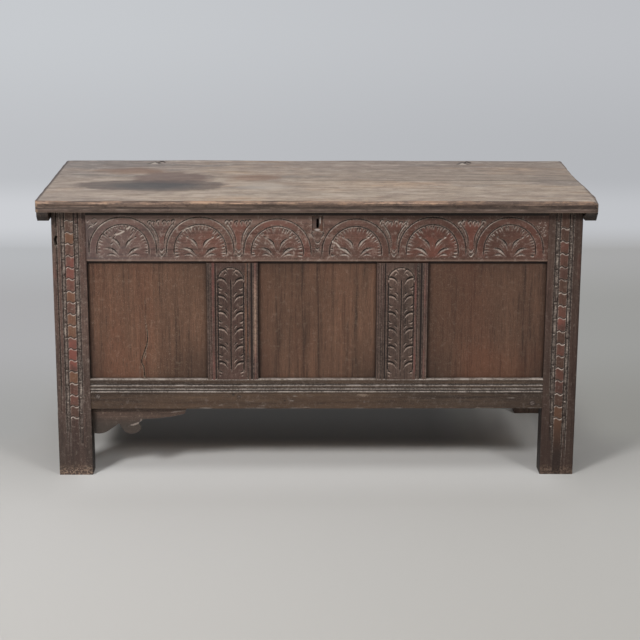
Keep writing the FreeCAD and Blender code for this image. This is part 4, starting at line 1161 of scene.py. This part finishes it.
# --------------------------------------------------------------------------- lid
@dataclass
class WornLid:
    """The lid's two boards and two cleats, worn hollow in places. Sizes in mm."""

    half_length: float = 620.0
    half_depth: float = 283.0
    top: float = 644.0
    spacing_along: float = 10.0
    spacing_deep: float = 8.0
    hollow: float = 0.9
    arris: float = 1.2
    front_corner: float = 9.0
    worn_corner: float = 17.0
    back_corner: float = 9.0
    tongue: float = 20.0

    def slice_up(self, piece: Piece) -> None:
        """Cut a board's faces into cells, so that wear can bend them."""
        low, high = (Vector(corner) for corner in (piece.bound_box[0], piece.bound_box[6]))
        with editing():
            for axis, spacing in enumerate((self.spacing_along, self.spacing_deep)):
                normal = [0.0, 0.0, 0.0]
                normal[axis] = 1.0
                span = high[axis] - low[axis]
                count = int(span / (spacing * MM))
                for step in range(1, count):
                    place = [0.0, 0.0, 0.0]
                    place[axis] = low[axis] + span * step / count
                    bpy.ops.mesh.select_all(action="SELECT")
                    bpy.ops.mesh.bisect(plane_co=place, plane_no=normal)

    def wear(self, piece: Piece) -> None:
        """Sink the top by slow hollows and rub the front edge."""
        count = len(piece.data.vertices)
        co = np.zeros(count * 3, np.float32)
        piece.data.vertices.foreach_get("co", co)
        co = co.reshape(-1, 3).astype(float)
        x, y, z = co[:, 0] / MM, co[:, 1] / MM, co[:, 2] / MM
        top = unit((z - self.top + 8) / 8)
        sunk = self.hollow + waves(x, y, SEED + 51, ((420, 190, self.hollow), (120, 60, 0.3)))
        z = z - np.clip(sunk, 0, 2.5) * top
        nose = (y < 6 - self.half_depth) & (z < self.top - 5)
        y = np.where(nose, y + 0.75 * (3.0 * ((self.top - 4 - z) / 22) ** 2 - self.half_depth - y), y)
        front = unit((21 - self.half_depth - y) / 14)
        chips = np.clip(waves(x, z * 3, SEED + 52, ((150, 60, 0.9), (34, 40, 0.6))), 0, 2)
        y = y + front * chips * 0.9
        ends = unit(waves(y, z, SEED + 53, ((90, 60, 0.8),)))
        x = x - np.sign(x) * (unit((np.abs(x) - self.half_length + 8) / 8) * ends)
        past = unit((x - self.half_length + 20) / 20)
        z = z - 10.0 * (1 - np.sqrt(1 - past ** 2 * 0.98)) * unit((-228 - y) / 40) * top
        x = x - 5.0 * np.exp(-((y - 60) / 150) ** 2) * unit((x - self.half_length + 60) / 60)
        front_corner = np.where(x > 0, self.worn_corner, self.front_corner)
        for side, radius in ((-1, front_corner), (1, self.back_corner)):
            past_x = np.abs(x) - (self.half_length - radius)
            past_y = y * side - (self.half_depth - radius)
            reach = np.hypot(past_x, past_y)
            outside = (past_x > 0) & (past_y > 0) & (reach > radius)
            shrink = np.where(outside, radius / np.maximum(reach, 1e-6), 1.0)
            x = np.sign(x) * (np.abs(x) - past_x * (1 - shrink))
            y = y - side * past_y * (1 - shrink)
        co = np.stack([x, y, z], -1) * MM
        piece.data.vertices.foreach_set("co", co.astype(np.float32).ravel())
        piece.data.update()
        bpy.ops.object.shade_smooth_by_angle(angle=math.radians(35))

    def split_end(self, piece: Piece) -> None:
        """Wear the front end of the right cleat away to a thin tongue."""
        front = min(corner[1] for corner in piece.bound_box)
        with editing():
            bpy.ops.mesh.bisect(plane_co=(0.0, front + self.tongue * MM, 0.0), plane_no=(0.0, 1.0, 0.0))
        for corner in piece.data.vertices:
            share = max(0.0, 1 - (corner.co.y - front) / (self.tongue * MM))
            drop = max(0.0, 0.617 - corner.co.z) / 0.020
            corner.co.z += 0.011 * min(1.0, share * 2) * drop
            corner.co.x -= 0.008 * min(1.0, share * 2) * drop
        piece.data.update()

    def build(self, finishes: dict[str, Material]) -> None:
        """Make the boards and the cleats."""
        for name in ("lid_front_board", "lid_rear_board"):
            piece = copy_of(name, "worn_" + name, self.arris)
            self.slice_up(piece)
            self.wear(piece)
            dress(piece, finishes["lid"], "lid", [name])
        for name in ("lid_cleat_left", "lid_cleat_right"):
            piece = copy_of(name, "worn_" + name, self.arris)
            if name.endswith("right"):
                self.split_end(piece)
            dress(piece, finishes["cleat"], "lid", [name])


# --------------------------------------------------------------------------- ironwork and pegs
@dataclass
class SmallParts:
    """Nodes that keep their own shape: irons, nails, pegs and dowels."""

    iron_words: tuple[str, ...] = ("hinge_eye", "lock", "nails", "brads", "pins")
    peg_words: tuple[str, ...] = ("pegs", "dowels")

    def build(self, iron: Material, plate: Material, peg: Material) -> None:
        """Give them their finishes."""
        for name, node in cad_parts.items():
            for words, finish in ((("keyhole",), plate), (self.iron_words, iron), (self.peg_words, peg)):
                if any(word in name for word in words):
                    for slot in node.material_slots:
                        slot.material = finish
                    LOG.info("%s: finish only", name)
                    break


# --------------------------------------------------------------------------- studio
@dataclass
class Studio:
    """Floor, backdrop, lamps and camera. Lengths in metres, angles in degrees."""

    lens: float = 95.71
    tilt: float = 14.431
    swing: float = -0.956
    roll: float = 0.239
    eye: Triple = (-0.0558, -3.958, 1.3212)
    bend_start: float = 2.25
    bend_radius: float = 0.35
    reach: float = 40.0
    wall: float = 4.0
    aim: Triple = (0.0, 0.0, 0.3)
    room: tuple[float, ...] = (0.96, 0.98, 1.0, 1.0)
    room_light: float = 0.15

    def backdrop(self) -> None:
        """Make the floor and the backdrop as one seamless sheet."""
        clear_choice()
        bpy.ops.mesh.primitive_plane_add(size=1.0)
        sheet = bpy.context.object
        sheet.name = "studio_sheet"
        with editing():
            bpy.ops.transform.resize(value=(2 * self.reach, self.reach + self.bend_start, 1.0))
            bpy.ops.transform.translate(value=(0.0, (self.bend_start - self.reach) / 2, 0.0))
            bpy.ops.mesh.select_all(action="DESELECT")
        for corner in sheet.data.vertices:
            corner.select = corner.co.y > self.bend_start - 0.01
        bpy.ops.object.mode_set(mode="EDIT")
        bpy.ops.mesh.spin(steps=24, angle=math.radians(-90), center=(0.0, self.bend_start, self.bend_radius),
                          axis=(1.0, 0.0, 0.0))
        bpy.ops.mesh.extrude_region_move(TRANSFORM_OT_translate={"value": (0.0, 0.0, self.wall)})
        bpy.ops.mesh.select_all(action="SELECT")
        bpy.ops.mesh.normals_make_consistent(inside=True)
        bpy.ops.mesh.select_mode(type="VERT")
        bpy.ops.object.mode_set(mode="OBJECT")
        bpy.ops.object.shade_smooth()
        sheet.data.materials.append(self.paper())

    def paper(self) -> Material:
        """Mix the pale grey of floor and backdrop, with painted light and shade; much of the sheet glows for the
        camera.
        """
        bench = Bench("studio paper")
        across, deep, high = bench.split()
        east = (across / (deep + 4.0)).ramp(-0.21, 0.21)
        aside = abs(across)

        def shaded(left: Triple, right: Triple) -> Flow:
            """A grey that changes from the left of the sheet to its right."""
            return bench.blend(east, left, right)

        bench.tone = shaded((194, 192, 189), (187, 185, 181))
        bench.lay(bench.noise(1.1, 3.0).ramp(0.35, 0.75) * 0.10, (182, 181, 180))
        # Painted shade: the floor darkens towards the front.
        bench.lay(deep.ramp(-0.55, -1.5) * 0.45, (170, 166, 160))
        # Painted light: a paler floor in front of and under the coffer's front, between its feet.
        under = deep.ramp(-0.46, -0.17) * deep.ramp(0.01, -0.075)
        bench.lay(under * aside.ramp(0.62, 0.50) * 0.62, (238, 237, 235))
        shadow = deep.ramp(-0.07, 0.02) * across.ramp(-0.530, -0.480) * across.ramp(0.46, 0.28)
        bench.lay(shadow, (118, 115, 111))
        gleam = deep.ramp(-0.10, 0.00) * across.ramp(0.40, 0.47) * across.ramp(0.57, 0.54)
        bench.lay(gleam * 0.7, (236, 234, 230))
        material = bench.finish(0.62, [(bench.noise(160.0, 3.0), 0.04, 0.001)])
        # The glowing grey: the backdrop is paler towards the top and at the foot of the wall, all painted light.
        bench.tone = bench.blend(high.ramp(0.25, 0.80), shaded((190, 192, 196), (180, 182, 186)),
                                 shaded((199, 202, 206), (189, 191, 195)))
        bench.lay(high.ramp(0.22, 0.10), shaded((204, 206, 210), (192, 194, 198)))
        # The glowing floor darkens near the coffer and to the right: painted shadow.
        floor = bench.blend(deep.ramp(2.15, 1.35), shaded((184, 186, 189), (168, 168, 168)),
                            shaded((174, 174, 176), (156, 156, 154)))
        floor = bench.blend(deep.ramp(0.95, 0.15), floor, shaded((163, 163, 162), (144, 143, 139)))
        bench.lay((deep + high * 2.0).ramp(2.56, 2.20), floor)
        outside = aside.ramp(1.5, 2.4).most((-deep).ramp(1.5, 2.4))
        bench.lay(outside * high.ramp(0.3, 0.1), (190, 190, 190))
        light = bench.node("ShaderNodeEmission", {}, {"Color": bench.tone, "Strength": 1.0})
        rays = bench.node("ShaderNodeLightPath").socket.node.outputs
        seen, shiny, through = (Flow(bench, rays[key]) for key in (
            "Is Camera Ray", "Is Glossy Ray", "Is Transmission Ray"))
        # The sheet glows, painted light, far off, beside the coffer and outside the studio.
        beside = aside.ramp(0.60, 0.76) * deep.ramp(-0.14, 0.12)
        far = deep.ramp(2.0, 2.3).most(beside.most(deep.ramp(0.30, 0.55)) * 0.92).most(outside)
        lit = bench.mix((seen + shiny + through).least(1.0) * far, bench.shader.outputs[0], light.socket)
        behind = bench.node("ShaderNodeNewGeometry", out="Backfacing")
        clear = bench.node("ShaderNodeBsdfTransparent")
        bench.link(bench.mix(behind, lit, clear.socket), bench.output.inputs[0])
        return material

    def lamps(self) -> None:
        """Hang the soft lamps and light the room."""
        world = bpy.data.worlds.new("room")
        bpy.context.scene.world = world
        world.use_nodes = True
        back = world.node_tree.nodes["Background"]
        back.inputs[0].default_value = self.room
        back.inputs[1].default_value = self.room_light
        for name, spot, power, size in (("over", (0.0, -0.6, 3.4), 50.0, (3.2, 2.4)),
                                        ("front_left", (-2.3, -3.3, 2.9), 130.0, (0.9, 0.8)),
                                        ("front_right", (2.3, -3.3, 2.9), 46.0, (0.9, 0.8))):
            clear_choice()
            bpy.ops.object.light_add(type="AREA", location=spot)
            lamp = bpy.context.object
            lamp.name = "lamp_" + name
            lamp.data.shape = "RECTANGLE"
            lamp.data.size, lamp.data.size_y = size
            lamp.data.energy = power
            lamp.rotation_euler = (Vector(self.aim) - Vector(spot)).to_track_quat("-Z", "Y").to_euler()

    def camera(self) -> None:
        """Set up the camera."""
        clear_choice()
        bpy.ops.object.camera_add(location=self.eye)
        eye = bpy.context.object
        eye.name = "eye"
        turn = Euler((0.0, 0.0, math.radians(self.swing))).to_matrix()
        turn = turn @ Euler((math.radians(90 - self.tilt), 0.0, 0.0)).to_matrix()
        turn = turn @ Euler((0.0, 0.0, math.radians(self.roll))).to_matrix()
        eye.rotation_euler = turn.to_euler()
        eye.data.sensor_width = 36.0
        eye.data.lens = self.lens
        bpy.context.scene.camera = eye

    def build(self) -> None:
        """Set up everything round the coffer."""
        self.backdrop()
        self.lamps()
        self.camera()
        bpy.context.scene.view_settings.view_transform = "Standard"


# --------------------------------------------------------------------------- colours of this coffer
def lid_top(bench: Bench) -> None:
    """Lay greying, warm patches, the stain, the joint and the clenched irons over the lid."""
    across, deep, _ = bench.split()
    cloud = bench.noise((2.0, 6.0, 2.0), 5.0, 0.6)
    blot = bench.noise(9.0, 5.0, 0.6)
    rear = (deep + (cloud - 0.5) * 0.25).ramp(-0.02, 0.24)
    east = across.ramp(-0.10, 0.12)
    far = bench.blend(across.ramp(0.05, 0.45), (136, 123, 116), (116, 105, 100))
    bench.lay(rear * 0.64, far)
    west = (-across + (cloud - 0.5) * 0.5).ramp(0.15, 0.62)
    bench.lay(west * 0.22 + 0.18, (164, 152, 145))
    tan = bench.noise((3.2, 9.0, 3.0), 5.0, 0.65, shift=(4.0, 1.0, 0.0))
    bench.lay(tan.ramp(0.52, 0.66) * 0.42, (180, 148, 118))
    slate = bench.noise((2.6, 9.0, 3.0), 5.0, 0.65, shift=(9.0, 3.0, 0.0))
    west_rear = (-across).ramp(-0.10, 0.35) * deep.ramp(0.05, 0.22)
    bench.lay((slate + west_rear * 0.16).ramp(0.53, 0.68) * 0.6, (112, 107, 106))
    grain = bench.noise((9.0, 54.0, 20.0), 6.0, 0.74)
    bench.lay(grain.ramp(0.49, 0.39) * 0.45, (116, 98, 88))
    bench.lay(grain.ramp(0.52, 0.62) * 0.38, (198, 180, 166))
    mottle = bench.noise((26.0, 40.0, 30.0), 5.0, 0.7)
    bench.lay(mottle.ramp(0.48, 0.38) * 0.38, (110, 96, 88))
    bench.lay(mottle.ramp(0.54, 0.64) * 0.32, (194, 182, 170))
    warm = rim_reach(across + 0.435, deep - 0.120, 0.080, 0.050)
    warm = warm.least(rim_reach(across + 0.150, deep - 0.030, 0.070, 0.050)) + (blot - 0.5) * 2.0
    bench.lay(warm.ramp(1.3, 0.5) * 0.60, (130, 98, 78))
    ripple = (blot - 0.5) * 1.5 + (mottle - 0.5) * 0.9
    halo = rim_reach(across + 0.345, deep - 0.010, 0.094, 0.105) + ripple * 0.7
    bench.lay(halo.ramp(1.15, 0.70) * 0.72, (104, 84, 78))
    core = rim_reach(across + 0.372, deep + 0.082, 0.168, 0.070) + ripple * 0.5
    bench.lay(core.ramp(1.15, 0.88) * 0.68, (84, 72, 68))
    bench.lay(core.ramp(0.95, 0.30) * 0.66, (68, 70, 72))
    pale = rim_reach(across + 0.125, deep + 0.085, 0.075, 0.060) + ripple * 0.6
    bench.lay(pale.ramp(1.2, 0.5) * 0.45, (182, 172, 162))
    bench.lay(deep.ramp(-0.0120, -0.0080) * deep.ramp(0.20, 0.02) * east * 0.30, (118, 106, 98))
    bench.lay(abs(deep + 0.0100).ramp(0.0075, 0.0030) * (0.08 + east * 0.42), (84, 70, 62))
    wedge = abs(abs(across + 0.015) - 0.383) / 0.014 + (deep - 0.226) / 0.030 + (mottle - 0.5) * 0.8
    inside = deep.ramp(0.224, 0.229)
    bench.lay(inside * wedge.ramp(1.6, 1.15) * 0.8, (74, 66, 62))
    bench.lay(inside * wedge.ramp(0.95, 0.70) * 0.9, (190, 178, 166))


def lid_edge(bench: Bench) -> None:
    """Darken the front edge with painted shade and the ends of the lid; rub their arrises, with a painted
    highlight on top.
    """
    across, deep, high = bench.split()
    # Painted shade: the moulded front edge is darkened, most towards its bottom.
    edge = (-deep).ramp(0.2720, 0.2775)
    down = high.ramp(0.6425, 0.6200)
    bench.lay(edge * 0.92, bench.blend(down, (104, 84, 73), (50, 39, 33)))
    draws = bench.noise((6.0, 1.0, 260.0), 6.0, 0.75, shift=(2.0, 5.0, 1.0))
    bench.lay(edge * draws.ramp(0.50, 0.40) * 0.60, (48, 37, 31))
    bench.lay(edge * draws.ramp(0.53, 0.63) * (0.75 - down * 0.5), (160, 136, 121))
    rough = bench.noise((48.0, 30.0, 120.0), 5.0, 0.75, shift=(3.0, 1.0, 2.0))
    bench.lay(edge * rough.ramp(0.48, 0.38) * 0.45, (46, 35, 30))
    rubs = bench.noise((26.0, 60.0, 60.0), 5.0, 0.7, shift=(7.0, 0.0, 0.0))
    # Painted shade in the hollow of the moulding, more to the right.
    hollow = high.ramp(0.6262, 0.6280) * high.ramp(0.6362, 0.6335)
    bench.lay(edge * hollow * (rubs + across * 0.10).ramp(0.44, 0.58) * 0.5, (42, 33, 30))
    # The rubbed upper arris, with a painted highlight along it.
    nose = high + (rough - 0.5) * 0.020
    arris = (-deep).ramp(0.2735, 0.2790) * nose.ramp(0.6360, 0.6395)
    bench.lay(arris * draws.ramp(0.42, 0.58) * rubs.ramp(0.38, 0.60) * 0.72, (190, 154, 126))
    bench.lay(arris * rubs.ramp(0.48, 0.40) * 0.40, (66, 52, 45))
    bench.lay(edge * high.ramp(0.6262, 0.6240) * (0.35 + rubs.ramp(0.35, 0.60) * 0.5), (106, 87, 78))
    fillet = high.ramp(0.6222, 0.6236) * high.ramp(0.6262, 0.6248)
    bench.lay(edge * fillet * rubs.ramp(0.42, 0.62) * 0.7, (132, 116, 106))
    ends = abs(across).ramp(0.6115, 0.6170) * (1.0 - edge)
    bench.lay(ends * (0.55 + across.ramp(0.0, -0.5) * 0.35), (66, 53, 48))
    bench.lay(abs(across).ramp(0.6120, 0.6175) * edge * rough.ramp(0.40, 0.56) * 0.6, (176, 146, 118))


def lid_marks(bench: Bench) -> None:
    """Mark the lid's top and edges, and keep its underside plain."""
    _, _, high = bench.split()
    under = bench.blend(0.5, bench.tone, (104, 83, 67))
    lid_top(bench)
    lid_edge(bench)
    bench.lay(high.ramp(0.6190, 0.6184), under)


def rail_marks(bench: Bench) -> None:
    """Grey the top rail's left end and darken its right end, with painted light and shade at its top and lower
    edge.
    """
    across, deep, high = bench.split()
    bench.lay(across.ramp(-0.22, -0.48) * 0.40, (110, 97, 95))
    corner = across.ramp(-0.470, -0.512).most(across.ramp(-0.42, -0.50) * high.ramp(0.575, 0.600))
    bench.lay(corner * 0.45, (70, 60, 60))
    # Painted light on the upper part of the face, where the lid's shadow falls, less to the right.
    bench.lay(high.ramp(0.578, 0.603) * (0.42 - across.ramp(-0.2, 0.4) * 0.24), (160, 134, 122))
    bench.lay(across.ramp(-0.06, 0.30) * 0.38, (62, 38, 27))
    # Painted shadow: a near-black band on the front face just under the lid.
    face = deep.ramp(-0.2470, -0.2485)
    bench.lay(high.ramp(0.6045, 0.6075) * face * 0.93, (30, 22, 19))
    # Painted highlight along the lower arris and painted shadow over the panels, in the gap under the rail.
    over_panel = abs(abs(across) - 0.1905).ramp(0.0560, 0.0590)
    bench.lay(high.ramp(0.5075, 0.5045) * high.ramp(0.5015, 0.5035) * 0.5, (146, 122, 108))
    bench.lay(high.ramp(0.5030, 0.5010) * over_panel * 0.92, (26, 18, 16))


def post_marks(bench: Bench) -> None:
    """Darken and chip the posts' feet, paint shade on the right post and in the side gaps, and rub the left
    muntin's edges.
    """
    across, deep, high = bench.split()
    cloud = bench.noise((60.0, 30.0, 16.0), 5.0, 0.65)
    bench.lay((high + (cloud - 0.5) * 0.10).ramp(0.170, 0.060) * 0.50, (52, 42, 37))
    chips = bench.noise(210.0, 4.0, 0.7)
    low = (high + (cloud - 0.5) * 0.03).ramp(0.030, 0.006)
    bench.lay(low * chips.ramp(0.46, 0.58) * 0.75, (158, 134, 114))
    bench.lay(chips.ramp(0.62, 0.72) * high.ramp(0.36, 0.16) * 0.45, (150, 136, 124))
    # Painted shade: the right post is darker.
    bench.lay(across.ramp(0.40, 0.52) * 0.50, (52, 32, 23))
    rubbed = across.ramp(-0.1455, -0.1425) * across.ramp(-0.1345, -0.1375) * high.ramp(0.262, 0.300)
    rubbed = rubbed * high.ramp(0.478, 0.440) * (0.30 + chips.ramp(0.40, 0.60) * 0.5)
    bench.lay(rubbed, (184, 156, 134))
    tan = abs(across + 0.1600).ramp(0.0030, 0.0015).most(abs(across + 0.1527).ramp(0.0026, 0.0012))
    bench.lay(tan * cloud.ramp(0.40, 0.60) * 0.45, (124, 84, 62))
    # Painted shade: near-black side faces in the gaps beside the panels.
    inner = abs(across).ramp(0.5156, 0.5144) * deep.ramp(-0.2518, -0.2498)
    bench.lay(inner * 0.85, (28, 22, 19))


def panel_marks(bench: Bench) -> None:
    """Darken the right panel with painted shade, darken the lower corners of all three, and lay a warm glow in
    the last one.
    """
    across, _, high = bench.split()
    cloud = bench.noise((7.0, 7.0, 4.0), 4.0, 0.6)
    # Painted shade: the right panel is darker.
    bench.lay(across.ramp(0.15, 0.40) * 0.28, (62, 42, 34))
    side = abs(abs(across) - 0.3805).least(abs(across)) + (cloud - 0.5) * 0.08
    low = (high + (cloud - 0.5) * 0.12).ramp(0.36, 0.24)
    bench.lay(side.ramp(0.060, 0.130) * low * 0.42, (50, 38, 32))
    ember = across.ramp(0.30, 0.36) * high.ramp(0.33, 0.27) * cloud.ramp(0.35, 0.60)
    bench.lay(ember * 0.18, (122, 70, 46))


def peg_marks(bench: Bench) -> None:
    """Blend the upper pegs of the front into their posts."""
    _, _, high = bench.split()
    bench.lay(high.ramp(0.40, 0.45) * 0.85, (92, 76, 66))


def sill_marks(bench: Bench) -> None:
    """Set the pegs, a nail hole and a few dents on the bottom rail."""
    across, _, high = bench.split()
    ripple = (bench.noise(160.0) - 0.5) * 0.5
    for wide, tall, size, hue in (
            (-0.4976, 0.187, 0.0052, (116, 106, 100)), (-0.1780, 0.186, 0.0042, (92, 76, 66)),
            (0.4918, 0.171, 0.0058, (112, 100, 94)), (-0.0734, 0.177, 0.0018, (40, 30, 26))):
        reach = rim_reach(across - wide, high - tall, size, size) + ripple
        bench.lay(reach.ramp(1.5, 1.1) * 0.6, (44, 34, 30))
        bench.lay(reach.ramp(1.05, 0.7) * (bench.noise(420.0) - 0.5).ramp(-0.10, 0.12), hue)
    dents = rim_reach(across - 0.104, high - 0.190, 0.013, 0.0040) + (bench.noise(300.0) - 0.5) * 3.0
    bench.lay(dents.ramp(1.2, 0.4) * 0.5, (150, 132, 116))


def bracket_marks(bench: Bench) -> None:
    """Grey the lobes of the scroll bracket and paint highlights on its curl and tail."""
    across, _, high = bench.split()
    bench.lay(high.ramp(0.146, 0.112) * 0.7, (66, 60, 55))
    bench.lay(across.ramp(-0.490, -0.512) * 0.35, (60, 54, 50))
    # Painted highlights: thin bright marks on the curl and along the underside of the tail.
    wide, tall, tail = across + 0.4120, high - 0.1180, across + 0.3170
    painted_highlights = rim_reach(wide - tall * 0.8, tall - wide * 0.3, 0.0125, 0.0022)
    painted_highlights = painted_highlights.least(rim_reach(across + 0.4025, high - 0.1225, 0.0022, 0.0060))
    painted_highlights = painted_highlights.least(rim_reach(tail, high - 0.1470 - tail * 0.12, 0.0190, 0.0012))
    painted_highlights = painted_highlights + (bench.noise(240.0) - 0.5) * 1.6
    bench.lay(painted_highlights.ramp(1.35, 0.7) * 0.62, (166, 152, 142))


FINISHES: dict[str, Oak] = {
    "carved up": Oak("carved oak upright", Grain.UP, (46, 36, 32), (86, 70, 62), (120, 102, 91), (124, 74, 64),
                     warmth=0.22, carved=True, worn=(176, 162, 150), mottle=0.9, marks=post_marks),
    "carved leaves": Oak("carved oak leaves", Grain.UP, (46, 36, 31), (88, 70, 61), (116, 96, 84), (122, 70, 64),
                         warmth=0.26, carved=True, worn=(164, 142, 128), mottle=0.8, marks=post_marks),
    "carved along": Oak("carved oak lengthwise", Grain.ALONG, (56, 41, 35), (104, 79, 69), (132, 107, 94),
                        (120, 70, 58), warmth=0.38, carved=True, worn=(178, 164, 152), mottle=1.3,
                        marks=rail_marks),
    "moulded along": Oak("moulded oak lengthwise", Grain.ALONG, (44, 34, 28), (76, 61, 50), (98, 80, 64),
                         (98, 68, 46), warmth=0.3, carved=True, worn=(160, 149, 140), mottle=0.35,
                         marks=sill_marks),
    "riven": Oak("riven panel oak", Grain.UP, (58, 42, 33), (102, 74, 58), (120, 88, 69), (116, 69, 49),
                 warmth=0.35, carved=True, relief=0.45, mottle=0.35, marks=panel_marks),
    "frame along": Oak("frame oak lengthwise", Grain.ALONG, (54, 41, 35), (88, 69, 60), (114, 91, 78),
                       (110, 72, 52)),
    "frame deep": Oak("frame oak front to back", Grain.DEEP, (52, 41, 35), (86, 69, 60), (112, 91, 78),
                      (108, 71, 51)),
    "frame up": Oak("frame oak upright", Grain.UP, (52, 41, 35), (86, 69, 60), (112, 91, 78), (108, 71, 51)),
    "panel": Oak("plain panel oak", Grain.UP, (60, 44, 35), (100, 74, 59), (120, 90, 72), (116, 72, 52)),
    "lid": Oak("lid oak", Grain.ALONG, (115, 99, 88), (168, 152, 135), (194, 178, 159), (182, 152, 124),
               warmth=0.4, rough=0.58, relief=0.6, marks=lid_marks),
    # Cleat oak is far darker than the frame oak: painted shade, as the cleats lie in the shadow under the lid.
    "cleat": Oak("cleat oak", Grain.DEEP, (30, 24, 21), (46, 37, 32), (70, 57, 49), (60, 42, 34)),
    "bracket": Oak("bracket oak", Grain.ALONG, (50, 39, 34), (86, 68, 59), (112, 90, 78), (110, 76, 56),
                   mottle=0.8, marks=bracket_marks),
    "peg": Oak("peg oak", Grain.DEEP, (36, 29, 25), (62, 51, 44), (128, 112, 98), (80, 56, 44),
               marks=peg_marks),
    "floor": Oak("floor oak", Grain.DEEP, (98, 78, 60), (140, 114, 88), (164, 138, 108), (150, 112, 78),
                 rough=0.72),
}


def main() -> None:
    """Build the coffer and the studio, piece by piece."""
    logging.basicConfig(level=logging.INFO, format="%(name)s: %(message)s")
    Studio().build()
    finishes = {key: finish.make() for key, finish in FINISHES.items()}
    CarvedPosts().build(finishes["carved up"])
    LunetteRail().build(finishes["carved along"])
    LeafMuntins().build(finishes["carved leaves"])
    MouldedRail().build(finishes["moulded along"])
    FrontPanels().build(finishes["riven"])
    PlainTimbers().build(finishes)
    WornLid().build(finishes)
    plate = Iron("keyhole iron", (98, 82, 76), (112, 82, 68), (160, 146, 138), slotted=True)
    SmallParts().build(Iron("wrought iron").make(), plate.make(), finishes["peg"])


if __name__ == "__main__":
    main()
    bpy.context.view_layer.update()
